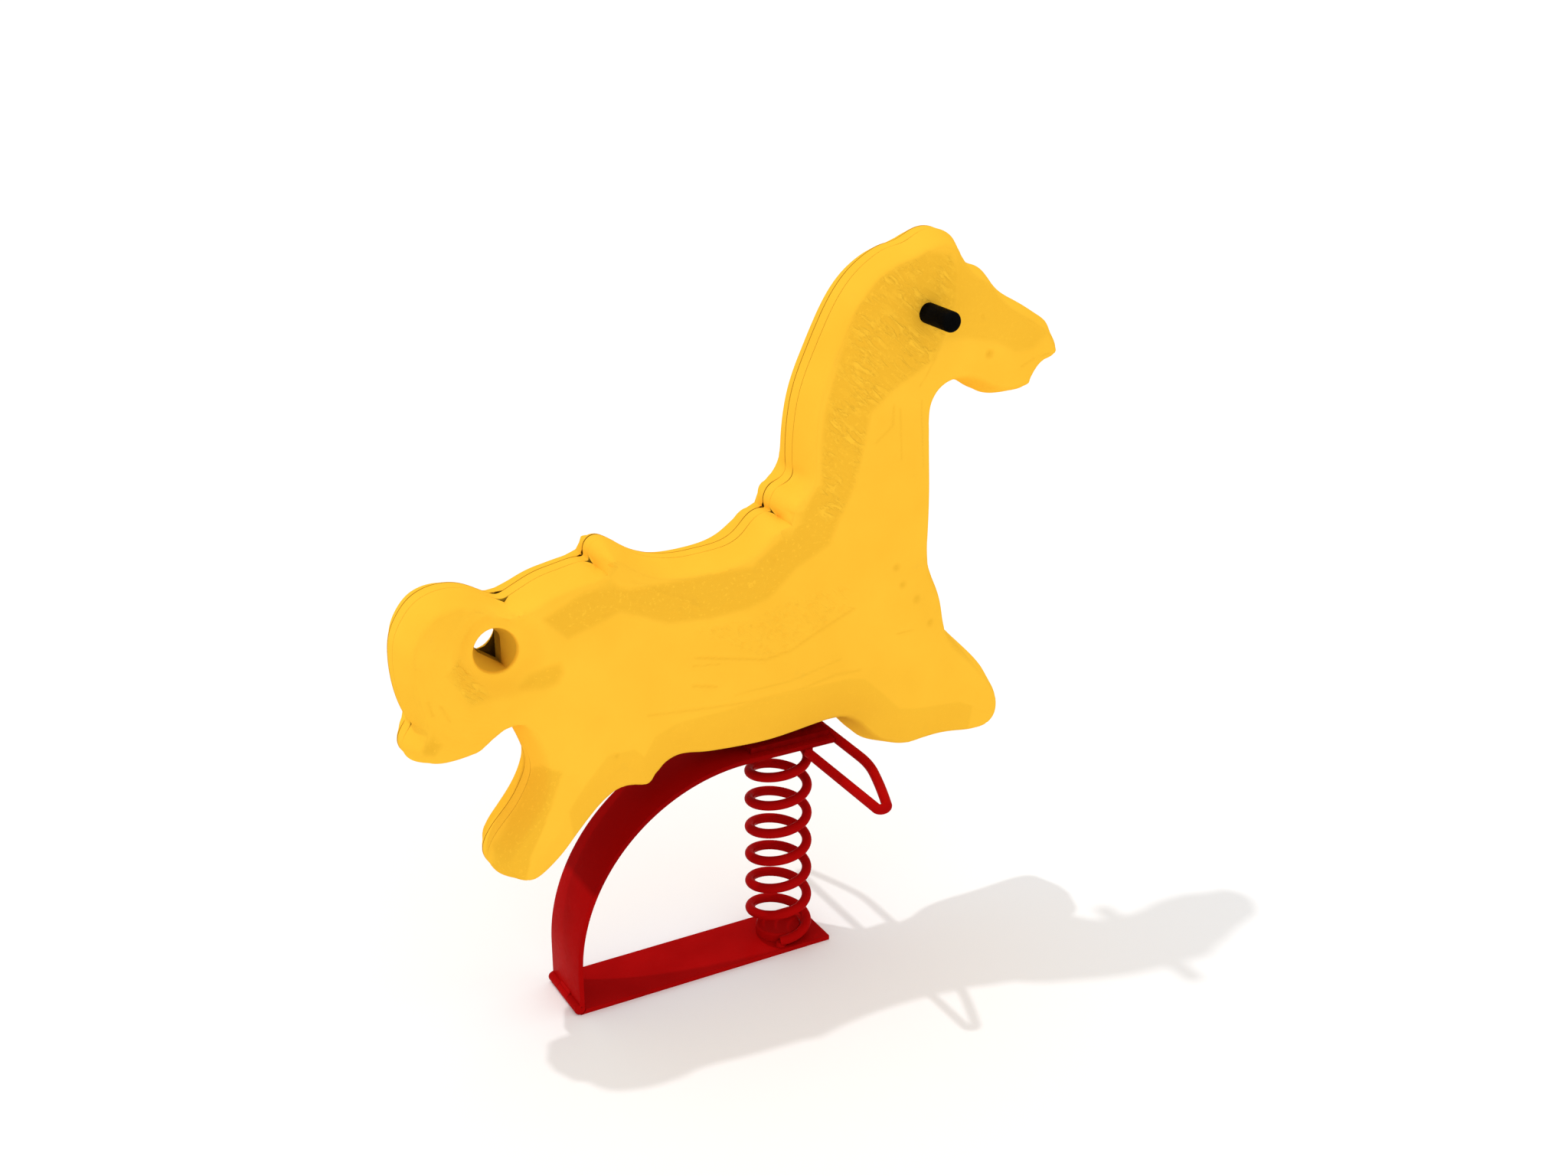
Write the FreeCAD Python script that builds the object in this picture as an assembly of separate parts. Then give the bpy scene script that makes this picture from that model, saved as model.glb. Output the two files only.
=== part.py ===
"""Spring rider horse: a hollow horse body on a curved steel arm, which a coil spring holds up
over a flat base plate. The arm turns on a hinge pin at the rear end of the plate.

Frame, in millimetres: +X is the way the horse faces, +Z is up, and the horse's right side is -Y.
The origin is the centre of the base plate's underside. Everything is symmetric about the XZ plane
except the coil, the hinge pin and the screws that enter from the left.
"""
import FreeCAD, Part
import math
import os

V = FreeCAD.Vector
Y_AXIS = V(0, 1, 0)
Z_AXIS = V(0, 0, 1)

# ---- driving dimensions -------------------------------------------------------------------
STRIP_WIDTH = 88.9            # base plate and arm are cut from the same flat bar
STRIP_THICKNESS = 6.35
PLATE_LENGTH = 364.0
HALF_WIDTH = STRIP_WIDTH / 2
PLATE_REAR = -PLATE_LENGTH / 2 + 7.0      # the plate runs into the hinge barrel here
PLATE_FRONT = PLATE_LENGTH / 2

ROD_RADIUS = 6.35             # footrest rod and coil wire share one size
HOLE_ROOM = 0.1               # extra hole radius around every screw, bolt and bar
PICK_TOLERANCE = 0.01         # for finding an edge by the plane it lies in

WELD_SINK = 0.5               # how far a weld bead stops short of the edges beside it

# hinge at the rear end of the plate
HINGE_X = PLATE_REAR
BARREL_RADIUS = 7.0
HINGE_Z = BARREL_RADIUS
PIN_RADIUS = 3.95
PIN_BORE_RADIUS = 4.0
ARM_KNUCKLE_HALF = 15.0
KNUCKLE_GAP = 0.4             # side play between the arm's knuckle and the plate's knuckles
KNUCKLE_CLEARANCE = 0.6       # radial room for the part that turns past a knuckle
PIN_HEAD_THICKNESS = 3.0
PIN_HEAD_ROUND = 2.4
KNUCKLE_OUTER = HALF_WIDTH - PIN_HEAD_THICKNESS
PIN_CAP_FLOOR = 1.2           # the cap is closed this thick over the pin's end
PIN_CAP_ROUND = 1.0
KNUCKLE_WELD_OFFSET = 4.0     # from the side of the knuckle
KNUCKLE_WELD_LENGTH = 2.2     # along the plate
KNUCKLE_WELD_HEIGHT = 2.6

# curved arm
ARM_INNER_X = -169.0          # upright stretch, face towards the spring
ARM_BEND_RADIUS = 232.0       # inner face
ARM_BEND_START_Z = 59.0
ARM_TIP_X = 187.9
ARM_UNDER_Z = ARM_BEND_START_Z + ARM_BEND_RADIUS
ARM_TOP_Z = ARM_UNDER_Z + STRIP_THICKNESS
ARM_FOOT_Z = HINGE_Z + 1.5    # lower end of the strip, on its knuckle
ARM_FOOT_RELIEF_Z = HINGE_Z + 4.2      # lower end beside the knuckle, clear of the plate's knuckles
ARM_WELD_LEG = 4.0
ARM_WELD_BOTTOM_Z = HINGE_Z + 4.5
ARM_WELD_TOP_Z = HINGE_Z + BARREL_RADIUS + 3.5

# coil spring
COIL_X = 129.3
COIL_RADIUS = 37.4
COIL_PITCH = 40.6
COIL_START_ANGLE = -114.0
COIL_BOTTOM_Z = STRIP_THICKNESS + ROD_RADIUS
COIL_TOP_Z = ARM_UNDER_Z - ROD_RADIUS
LOWER_SEAT_RADIUS = 30.0
LOWER_SEAT_HEIGHT = 12.0
LOWER_SEAT_CHAMFER = 2.0
LOWER_SEAT_COVER = 2.0        # left closed above the screw
UPPER_SEAT_RADIUS = 30.0
UPPER_SEAT_HEIGHT = 5.0
UPPER_SEAT_CHAMFER = 1.5
SEAT_SCREW_RADIUS = 4.0
SEAT_HOLE_RADIUS = SEAT_SCREW_RADIUS + HOLE_ROOM
SEAT_HEAD_RADIUS = 7.8
SEAT_HEAD_HEIGHT = 3.8
SEAT_HEAD_SETBACK = 0.2       # below the face it is sunk into
COUNTERSINK_RADIUS = 8.2
COUNTERSINK_DEPTH = 4.0
END_WELD_RADIUS = 6.8
END_WELD_TAPER = 2.0
END_WELD_HEIGHT = 5.5

# footrest: one rod that loops out on both sides, in a plane that rises towards the front
FOOT_REAR_X = 150.5
FOOT_REAR_Z = ARM_UNDER_Z - ROD_RADIUS - 0.3
FOOT_LEG_SPACING = 44.7
FOOT_TILT = 9.5
FOOT_REAR_END_Y = 42.0
FOOT_STRAIGHT_Y = 95.0
FOOT_SWEEP_RADIUS = 150.0
FOOT_SWEEP_ANGLE = 17.0
FOOT_OUTER_RADIUS = 800.0
FOOT_OUTER_ANGLE = 5.4
FOOT_TIP_RADIUS = 6.8
FRONT_WELD_SETBACK = 6.0      # from the arm's side edges
FRONT_WELD_RISE = 5.0         # up the arm's front edge
FRONT_WELD_DROP = 4.0         # under the arm
REAR_WELD_HALF = 5.0
REAR_WELD_DROP = 3.2
REAR_WELD_SETBACK = 0.3

# horse body
BAND_HALF = 9.5               # the centre band between the two shells
BAND_DEPTH = 10.0
BODY_HALF = 47.0              # flank, where the drafted side wall ends
DRAFT_INSET = 6.0
FIELD_STEPS = [(16.0, 50.5), (32.0, 54.0)]     # raised fields on the flank: inset, half width
FIELD_HALF = FIELD_STEPS[-1][1]
HEAD_Z = 690.0                # the head above this height is plain, without the raised fields
WALL = 5.0
CORE_INSET = 12.0
DEEP_CORE_INSET = 36.0
OUTLINE_SAMPLES = 9.0         # spacing of the points that carry the drafted outline
RIM_SAMPLES = 5.0             # spacing of the points that an inner curve starts from
INSET_TOLERANCE = 0.4
LOOP_SPACING = 12.0           # between the points of a closed inner curve
LOOP_CHUNK = 10               # points in each of its spline edges
BOSS_RADIUS = 11.0
BOLT_RADIUS = 5.0
BOLT_HOLE_RADIUS = BOLT_RADIUS + HOLE_ROOM
BOLT_HEAD_RADIUS = 7.0
WASHER_RADIUS = 8.0
BOLT_HEAD_HEIGHT = 5.0
BOLT_SEAT_Y = 39.0            # floor of the counterbores in the left shell
COUNTERBORE_RADIUS = 8.7
BOLT_BLIND_DEPTH = 32.0       # thread depth in the right shell's blind boss
WASHER_THICKNESS = 1.5

# mounting foot between arm and body
FOOT_PLATE_LENGTH = 112.0
FOOT_PLATE_WIDTH = 66.0
FOOT_PLATE_HEIGHT = 7.5
FOOT_HOLE_TOP_Z = ARM_TOP_Z + FOOT_PLATE_HEIGHT - 1.5      # the foot's screw holes are blind
FOOT_SCREW_TOP_Z = FOOT_HOLE_TOP_Z - 0.4
FOOT_WEB_LENGTH = 84.0
FOOT_WEB_TOP_Z = 362.0
FOOT_SCREW_X = 46.5           # from the coil's axis
FOOT_SCREW_Y = 22.0
FOOT_SCREW_RADIUS = 5.0
FOOT_HOLE_RADIUS = FOOT_SCREW_RADIUS + HOLE_ROOM
BUTTON_HEAD_RADIUS = 8.5
BUTTON_HEAD_HEIGHT = 5.0
BUTTON_HEAD_ROUND = 3.0

# handle bar through the head
HANDLE_X = 310.0
HANDLE_Z = 834.0
HANDLE_TUBE_RADIUS = 9.5
HANDLE_TUBE_WALL = 2.0
HANDLE_BOSS_RADIUS = 16.0
GRIP_RADIUS = 12.7
GRIP_START_Y = 47.5
GRIP_END_Y = 99.0
GRIP_END_ROUND = 3.0
HANDLE_END_Y = GRIP_END_Y - 4.0        # the grips are closed over the bar's ends
SET_SCREW_RADIUS = 2.5
SET_SCREW_Y = 25.0

# teardrop hole between tail and rump
EYE_CENTRE = (-254.0, 512.0)
EYE_RADIUS = 16.0
EYE_POINT = (-238.0, 481.0)
EYE_RIM_RADIUS = 28.0
EYE_RING_WALL = 6.0

# Body outline, (x, z), clockwise as seen from the right side. Each stretch is one smooth
# curve, and the corners between stretches are the notches and ridges of the casting.
OUTLINE = [
    ("rump", [(-233, 559), (-228, 561), (-206, 571), (-185, 579), (-159, 584), (-131, 587),
              (-123, 585)]),
    ("saddle", [(-123, 585), (-125, 591), (-125, 598), (-121, 606), (-112, 611), (-101, 608),
                (-70, 587), (-38, 574), (-6, 569), (25, 570), (57, 574), (75, 584), (94, 602),
                (107, 606), (112, 605.5), (117, 603)]),
    ("mane_foot", [(117, 603), (114, 608), (113, 615), (116, 626), (125, 635), (138, 640),
                   (141, 642.5), (145, 650)]),
    ("crest", [(145, 650), (144.5, 655), (144, 665), (145, 697), (154, 750), (178, 807), (207, 860),
               (228, 884), (252, 901), (273, 910), (294, 914), (315, 924), (336, 927),
               (352, 922), (362, 915), (369, 905)]),
    ("brow", [(369, 905), (375, 892), (385, 879)]),
    ("face", [(385, 879), (410, 867), (430, 844), (463, 823), (495, 803), (511, 790),
              (519, 775), (526, 762), (526, 750), (509, 742), (492, 740)]),
    ("chin", [(492, 740), (485, 726), (481, 713), (470, 709), (457, 708.5), (432, 709),
              (409, 715), (378, 733), (346, 733), (331, 718), (329, 700)]),
    ("chest", [(329, 700), (330.5, 640), (331.5, 590), (330.5, 539), (329, 512)]),
    ("shoulder", [(329, 512), (338, 494), (351, 462), (357, 431), (359, 412)]),
    ("foreleg", [(359, 412), (387, 381), (415, 352), (440, 318), (448, 290), (442, 265),
                 (427, 252), (404, 248), (336, 256), (302, 252), (270, 259), (244, 272),
                 (223, 293), (200, 317)]),
    ("belly", [(200, 317), (141, 311), (88, 306.5), (36, 309), (-17, 316), (-40, 319),
               (-50, 311), (-56, 300), (-64, 290), (-75, 286), (-91, 290), (-109, 297)]),
    ("hindleg", [(-109, 297), (-125, 284), (-154, 255), (-180, 226), (-202, 208), (-225, 197),
                 (-247, 202), (-264, 218), (-270, 235), (-265, 253), (-248, 275), (-231, 294),
                 (-218, 315), (-210, 338), (-213, 360), (-222, 385), (-232, 410)]),
    ("dock", [(-232, 410), (-248, 405), (-260, 394), (-278, 381), (-301, 377), (-327, 376),
              (-348, 382), (-360, 394), (-362, 408), (-353, 425), (-349, 430)]),
    ("tail", [(-349, 430), (-351, 434), (-357, 450), (-364, 486), (-365, 510), (-361, 539), (-350, 560),
              (-335, 576), (-317, 584), (-300, 586), (-280, 583), (-259, 573), (-239, 561.5),
              (-233, 559)]),
]
# Notches that the smoother centre band bridges, named by the stretch that ends in them.
BRIDGED = ("rump", "saddle", "mane_foot", "dock", "tail")

# Bolts that clamp the two shells, (x, z); the first two pass through the mounting foot's web.
FOOT_BOLTS = [(108, 342), (156, 342)]
BODY_BOLTS = [(-165, 480), (-40, 470), (275, 470), (215, 760), (430, 785), (345, 320),
              (-215, 260), (-318, 470)]


# ---- small helpers --------------------------------------------------------------------------
def box(x0, x1, y0, y1, z0, z1):
    return Part.makeBox(x1 - x0, y1 - y0, z1 - z0, V(x0, y0, z0))


def cylinder_y(x, z, radius, y0, y1):
    return Part.makeCylinder(radius, y1 - y0, V(x, y0, z), Y_AXIS)


def cylinder_z(x, y, radius, z0, z1):
    return Part.makeCylinder(radius, z1 - z0, V(x, y, z0), Z_AXIS)


def circles_at_y(solid, y):
    """The circular edges of a cylinder's end in the plane at y."""
    picked = []
    for edge in solid.Edges:
        edge_box = edge.BoundBox
        flat = abs(edge_box.YMin - y) < PICK_TOLERANCE and abs(edge_box.YMax - y) < PICK_TOLERANCE
        if flat and edge_box.XLength > 1:
            picked.append(edge)
    return picked


def at_xz(point, y=0.0):
    return V(point[0], y, point[1])


def mirrored(shape):
    return shape.mirror(V(0, 0, 0), Y_AXIS)


def joined(solids):
    return Part.makeCompound(solids)


def save(node, shape):
    if shape.ShapeType == "Compound" and len(shape.Solids) == 1:
        shape = shape.Solids[0]
    print(node, "solids", len(shape.Solids), "valid", shape.isValid(), "cm3",
          round(shape.Volume / 1000, 2))
    shape.exportStep("parts/" + node + ".step")


# ---- body outline -----------------------------------------------------------------------------
def spline(points):
    curve = Part.BSplineCurve()
    curve.interpolate(points)
    return curve


def sample_stretch(points, spacing):
    """Evenly spaced points and inward normals along one smooth stretch."""
    curve = spline([at_xz(p) for p in points])
    count = max(6, int(curve.length() / spacing))
    samples = []
    for i in range(count + 1):
        u = curve.parameterAtDistance(curve.length() * i / count, curve.FirstParameter)
        along = curve.tangent(u)[0]
        samples.append((curve.value(u), V(along.z, 0, -along.x)))
    return samples


def corner_direction(before, after):
    """Inward direction shared by the two stretches that meet in a corner."""
    both = before + after
    return both.normalize() if both.Length > 0.1 else V(before)


def offset_stretches(stretches, inset, y):
    """The outline's curves moved inwards by inset, in the plane at y.

    Near a corner the move turns towards the corner's own direction, so that neighbours still
    meet in one point.
    """
    sampled = [sample_stretch(points, OUTLINE_SAMPLES) for points in stretches]
    curves = []
    for i, samples in enumerate(sampled):
        start = corner_direction(sampled[i - 1][-1][1], samples[0][1])
        end = corner_direction(samples[-1][1], sampled[(i + 1) % len(sampled)][0][1])
        last = len(samples) - 1
        moved = []
        for k, (point, inward) in enumerate(samples):
            near_start = max(0.0, 1 - k / 2.0)
            near_end = max(0.0, 1 - (last - k) / 2.0)
            way = inward * (1 - near_start - near_end) + start * near_start + end * near_end
            moved.append(V(point.x, y, point.z) + way * inset)
        curves.append(spline(moved))
    return curves


def wire_of(curves):
    return Part.Wire([curve.toShape() for curve in curves])


def inner_loop(stretches, inset, y):
    """One smooth closed curve that stays inset inside the outline, without its small notches."""
    rim = []
    for points in stretches:
        rim.extend(sample_stretch(points, RIM_SAMPLES)[:-1])
    edge = [(p.x, p.z) for p, _ in rim]
    kept = []
    for point, inward in rim:
        x = point.x + inward.x * inset
        z = point.z + inward.z * inset
        if min(math.hypot(x - a, z - b) for a, b in edge) < inset - INSET_TOLERANCE:
            continue
        if not kept or math.hypot(x - kept[-1].x, z - kept[-1].z) > LOOP_SPACING:
            kept.append(V(x, y, z))
    if (kept[0] - kept[-1]).Length < LOOP_SPACING / 2:
        kept.pop()
    kept.append(kept[0])
    chunks = []
    for i in range(0, len(kept) - 1, LOOP_CHUNK):
        chunks.append(spline(kept[i:i + LOOP_CHUNK + 1]))
    return wire_of(chunks)


def prism(wire, depth):
    return Part.Face(wire).extrude(V(0, depth, 0))


def band_stretches():
    """The outline with its notches bridged by short straight stretches."""
    stretches = [list(points) for _, points in OUTLINE]
    bridges = []
    for i, (name, _) in enumerate(OUTLINE):
        if name in BRIDGED:
            after = stretches[(i + 1) % len(stretches)]
            stretches[i].pop()
            after.pop(0)
            bridges.append((i, [stretches[i][-1], after[0]]))
    for i, bridge in reversed(bridges):
        stretches.insert(i + 1, bridge)
    return stretches


def eye_face(grow, y):
    """The teardrop hole: a round top with two straight sides down to a point."""
    radius = EYE_RADIUS + grow
    dx = EYE_POINT[0] - EYE_CENTRE[0]
    dz = EYE_POINT[1] - EYE_CENTRE[1]
    reach = math.hypot(dx, dz)
    point = at_xz((EYE_CENTRE[0] + dx * (1 + grow / EYE_RADIUS),
                   EYE_CENTRE[1] + dz * (1 + grow / EYE_RADIUS)), y)
    toward = math.atan2(dz, dx)
    half = math.acos(EYE_RADIUS / reach)

    def on_circle(angle):
        return at_xz((EYE_CENTRE[0] + radius * math.cos(angle),
                      EYE_CENTRE[1] + radius * math.sin(angle)), y)

    first = on_circle(toward + half)
    top = on_circle(toward + math.pi)
    second = on_circle(toward - half)
    edges = [Part.Arc(first, top, second).toShape(), Part.LineSegment(second, point).toShape(),
             Part.LineSegment(point, first).toShape()]
    return Part.Face(Part.Wire(edges))


# ---- base, hinge and arm ----------------------------------------------------------------------
def barrel_cutter(y0, y1, clearance):
    return cylinder_y(HINGE_X, HINGE_Z, BARREL_RADIUS + clearance, y0, y1)


def make_base_plate():
    plate = box(PLATE_REAR, PLATE_FRONT, -HALF_WIDTH, HALF_WIDTH, 0, STRIP_THICKNESS)
    plate = plate.cut(barrel_cutter(-HALF_WIDTH - 1, HALF_WIDTH + 1, 0))
    swept = barrel_cutter(-ARM_KNUCKLE_HALF - KNUCKLE_GAP, ARM_KNUCKLE_HALF + KNUCKLE_GAP,
                          KNUCKLE_CLEARANCE)
    plate = plate.cut(swept)
    hole = cylinder_z(COIL_X, 0, SEAT_HOLE_RADIUS, 0, STRIP_THICKNESS)
    return plate.cut(hole.fuse(countersink(0)))


def make_base_knuckles():
    y0 = ARM_KNUCKLE_HALF + KNUCKLE_GAP
    tube = cylinder_y(HINGE_X, HINGE_Z, BARREL_RADIUS, y0, KNUCKLE_OUTER)
    tube = tube.cut(cylinder_y(HINGE_X, HINGE_Z, PIN_BORE_RADIUS, y0 - 1, KNUCKLE_OUTER + 1))
    return joined([tube, mirrored(tube)])


def make_knuckle_welds():
    """Fillets in the corner between the plate's top and its knuckles."""
    y0 = ARM_KNUCKLE_HALF + KNUCKLE_WELD_OFFSET
    y1 = KNUCKLE_OUTER - WELD_SINK
    front = HINGE_X + BARREL_RADIUS
    top = STRIP_THICKNESS + KNUCKLE_WELD_HEIGHT
    corner = [at_xz((front - WELD_SINK, STRIP_THICKNESS), y0),
              at_xz((front + KNUCKLE_WELD_LENGTH, STRIP_THICKNESS), y0),
              at_xz((front - WELD_SINK, top), y0)]
    fillet = Part.Face(Part.makePolygon(corner + corner[:1])).extrude(V(0, y1 - y0, 0))
    fillet = fillet.cut(barrel_cutter(y0 - 1, y1 + 1, 0))
    return joined([fillet, mirrored(fillet)])


def make_hinge_pin():
    pin = cylinder_y(HINGE_X, HINGE_Z, PIN_RADIUS, -KNUCKLE_OUTER, HALF_WIDTH - PIN_CAP_FLOOR)
    head = cylinder_y(HINGE_X, HINGE_Z, BARREL_RADIUS, -HALF_WIDTH, -KNUCKLE_OUTER)
    head = head.makeFillet(PIN_HEAD_ROUND, circles_at_y(head, -HALF_WIDTH))
    return pin.fuse(head).removeSplitter()


def make_pin_cap():
    cap = cylinder_y(HINGE_X, HINGE_Z, BARREL_RADIUS, KNUCKLE_OUTER, HALF_WIDTH)
    cap = cap.makeFillet(PIN_CAP_ROUND, circles_at_y(cap, HALF_WIDTH))
    return cap.cut(cylinder_y(HINGE_X, HINGE_Z, PIN_BORE_RADIUS, 0, HALF_WIDTH - PIN_CAP_FLOOR))


def make_arm_knuckle():
    tube = cylinder_y(HINGE_X, HINGE_Z, BARREL_RADIUS, -ARM_KNUCKLE_HALF, ARM_KNUCKLE_HALF)
    return tube.cut(cylinder_y(HINGE_X, HINGE_Z, PIN_BORE_RADIUS, -HALF_WIDTH, HALF_WIDTH))


def arm_section(thickness_in, thickness_out, foot_z):
    """Side profile of the curved strip between two distances from its inner face."""
    inner = ARM_BEND_RADIUS + thickness_in
    outer = ARM_BEND_RADIUS + thickness_out
    centre = (ARM_INNER_X + ARM_BEND_RADIUS, ARM_BEND_START_Z)
    quarter = math.sqrt(0.5)

    def arc_points(radius):
        return [at_xz((centre[0] - radius, centre[1])),
                at_xz((centre[0] - radius * quarter, centre[1] + radius * quarter)),
                at_xz((centre[0], centre[1] + radius))]

    low = arc_points(inner)
    high = arc_points(outer)
    foot_in = at_xz((centre[0] - inner, foot_z))
    foot_out = at_xz((centre[0] - outer, foot_z))
    tip_in = at_xz((ARM_TIP_X, centre[1] + inner))
    tip_out = at_xz((ARM_TIP_X, centre[1] + outer))
    edges = [Part.LineSegment(foot_in, low[0]), Part.Arc(*low), Part.LineSegment(low[2], tip_in),
             Part.LineSegment(tip_in, tip_out), Part.LineSegment(tip_out, high[2]),
             Part.Arc(high[2], high[1], high[0]), Part.LineSegment(high[0], foot_out),
             Part.LineSegment(foot_out, foot_in)]
    return Part.Face(Part.Wire([e.toShape() for e in edges]))


def make_spring_arm():
    profile = arm_section(0, STRIP_THICKNESS, ARM_FOOT_Z)
    strip = profile.extrude(V(0, STRIP_WIDTH, 0))
    strip.translate(V(0, -HALF_WIDTH, 0))
    strip = strip.cut(barrel_cutter(-HALF_WIDTH - 1, HALF_WIDTH + 1, 0))
    for side in (-1, 1):
        y0, y1 = sorted((side * ARM_KNUCKLE_HALF, side * (HALF_WIDTH + 1)))
        strip = strip.cut(barrel_cutter(y0, y1, KNUCKLE_CLEARANCE))
        strip = strip.cut(box(ARM_INNER_X - BARREL_RADIUS, ARM_INNER_X + 1, y0, y1,
                              0, ARM_FOOT_RELIEF_Z))
    for x, y in foot_screw_places():
        strip = strip.cut(cylinder_z(x, y, FOOT_HOLE_RADIUS, ARM_UNDER_Z - 1, ARM_TOP_Z + 1))
    strip = strip.cut(cylinder_z(COIL_X, 0, SEAT_HOLE_RADIUS, ARM_UNDER_Z - 1, ARM_TOP_Z + 1))
    return max(strip.Solids, key=lambda s: s.Volume)


def make_arm_knuckle_weld():
    """Fillet along the arm's outer face, where it stands on its knuckle."""
    outer_x = ARM_INNER_X - STRIP_THICKNESS
    half = ARM_KNUCKLE_HALF - WELD_SINK
    corner = [at_xz((outer_x, ARM_WELD_BOTTOM_Z), -half),
              at_xz((outer_x - ARM_WELD_LEG, ARM_WELD_BOTTOM_Z), -half),
              at_xz((outer_x, ARM_WELD_TOP_Z), -half)]
    fillet = Part.Face(Part.makePolygon(corner + corner[:1])).extrude(V(0, 2 * half, 0))
    return fillet.cut(barrel_cutter(-HALF_WIDTH, HALF_WIDTH, 0))


# ---- coil spring and its seats ----------------------------------------------------------------
def make_coil_spring():
    height = COIL_TOP_Z - COIL_BOTTOM_Z
    path = Part.makeHelix(COIL_PITCH, height, COIL_RADIUS)
    climb = V(0, COIL_RADIUS, COIL_PITCH / (2 * math.pi))
    section = Part.Wire([Part.makeCircle(ROD_RADIUS, V(COIL_RADIUS, 0, 0), climb)])
    coil = Part.Wire(path.Edges).makePipeShell([section], True, True)
    coil.rotate(V(0, 0, 0), Z_AXIS, COIL_START_ANGLE)
    coil.translate(V(COIL_X, 0, COIL_BOTTOM_Z))
    return coil


def make_lower_spring_seat():
    top = STRIP_THICKNESS + LOWER_SEAT_HEIGHT
    seat = cylinder_z(COIL_X, 0, LOWER_SEAT_RADIUS, STRIP_THICKNESS, top)
    rim = [e for e in seat.Edges if e.BoundBox.ZMin > top - PICK_TOLERANCE]
    seat = seat.makeChamfer(LOWER_SEAT_CHAMFER, rim)
    return seat.cut(cylinder_z(COIL_X, 0, SEAT_HOLE_RADIUS, 0, top - LOWER_SEAT_COVER))


def countersink(bottom):
    """Room for a flat screw head, open below, on the coil's axis."""
    return Part.makeCone(COUNTERSINK_RADIUS, SEAT_HOLE_RADIUS, COUNTERSINK_DEPTH,
                         V(COIL_X, 0, bottom), Z_AXIS)


def flat_head_screw(face, top):
    """A screw on the coil's axis with its flat head sunk into the face below."""
    bottom = face + SEAT_HEAD_SETBACK
    shank = cylinder_z(COIL_X, 0, SEAT_SCREW_RADIUS, bottom, top)
    head = Part.makeCone(SEAT_HEAD_RADIUS, SEAT_SCREW_RADIUS, SEAT_HEAD_HEIGHT,
                         V(COIL_X, 0, bottom), Z_AXIS)
    return shank.fuse(head).removeSplitter()


def make_lower_seat_screw():
    return flat_head_screw(0, STRIP_THICKNESS + LOWER_SEAT_HEIGHT - LOWER_SEAT_COVER)


def make_upper_spring_seat():
    bottom = ARM_UNDER_Z - UPPER_SEAT_HEIGHT
    seat = cylinder_z(COIL_X, 0, UPPER_SEAT_RADIUS, bottom, ARM_UNDER_Z)
    rim = [e for e in seat.Edges if e.BoundBox.ZMax < bottom + PICK_TOLERANCE]
    seat = seat.makeChamfer(UPPER_SEAT_CHAMFER, rim)
    seat = seat.cut(cylinder_z(COIL_X, 0, SEAT_HOLE_RADIUS, bottom - 1, ARM_UNDER_Z + 1))
    return seat.cut(countersink(bottom))


def make_upper_seat_screw():
    return flat_head_screw(ARM_UNDER_Z - UPPER_SEAT_HEIGHT, FOOT_SCREW_TOP_Z)


def coil_end(angle):
    return (COIL_X + COIL_RADIUS * math.cos(angle), COIL_RADIUS * math.sin(angle))


def make_lower_spring_weld(coil):
    """Bead that holds the coil's lower end on the plate."""
    x, y = coil_end(math.radians(COIL_START_ANGLE))
    bead = Part.makeCone(END_WELD_RADIUS, END_WELD_RADIUS - END_WELD_TAPER, END_WELD_HEIGHT,
                         V(x, y, STRIP_THICKNESS), Z_AXIS)
    return max(bead.cut(coil).Solids, key=lambda s: s.Volume)


def make_upper_spring_weld(coil):
    """Bead that holds the coil's upper end under the arm."""
    turns = (COIL_TOP_Z - COIL_BOTTOM_Z) / COIL_PITCH
    x, y = coil_end(math.radians(COIL_START_ANGLE) + 2 * math.pi * turns)
    bead = Part.makeCone(END_WELD_RADIUS, END_WELD_RADIUS - END_WELD_TAPER, END_WELD_HEIGHT,
                         V(x, y, ARM_UNDER_Z), V(0, 0, -1))
    return max(bead.cut(coil).Solids, key=lambda s: s.Volume)


# ---- footrest -----------------------------------------------------------------------------------
def bend(start, heading, turn, radius):
    """An arc in the plan view; heading 0 is towards -Y and grows towards -X."""
    h0 = math.radians(heading)
    h1 = math.radians(heading + turn)
    hm = (h0 + h1) / 2
    cx = start.x - radius * math.cos(h0)
    cy = start.y + radius * math.sin(h0)

    def on_arc(h):
        return V(cx + radius * math.cos(h), cy - radius * math.sin(h), 0)

    end = on_arc(h1)
    return Part.Arc(start, on_arc(hm), end).toShape(), end


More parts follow.
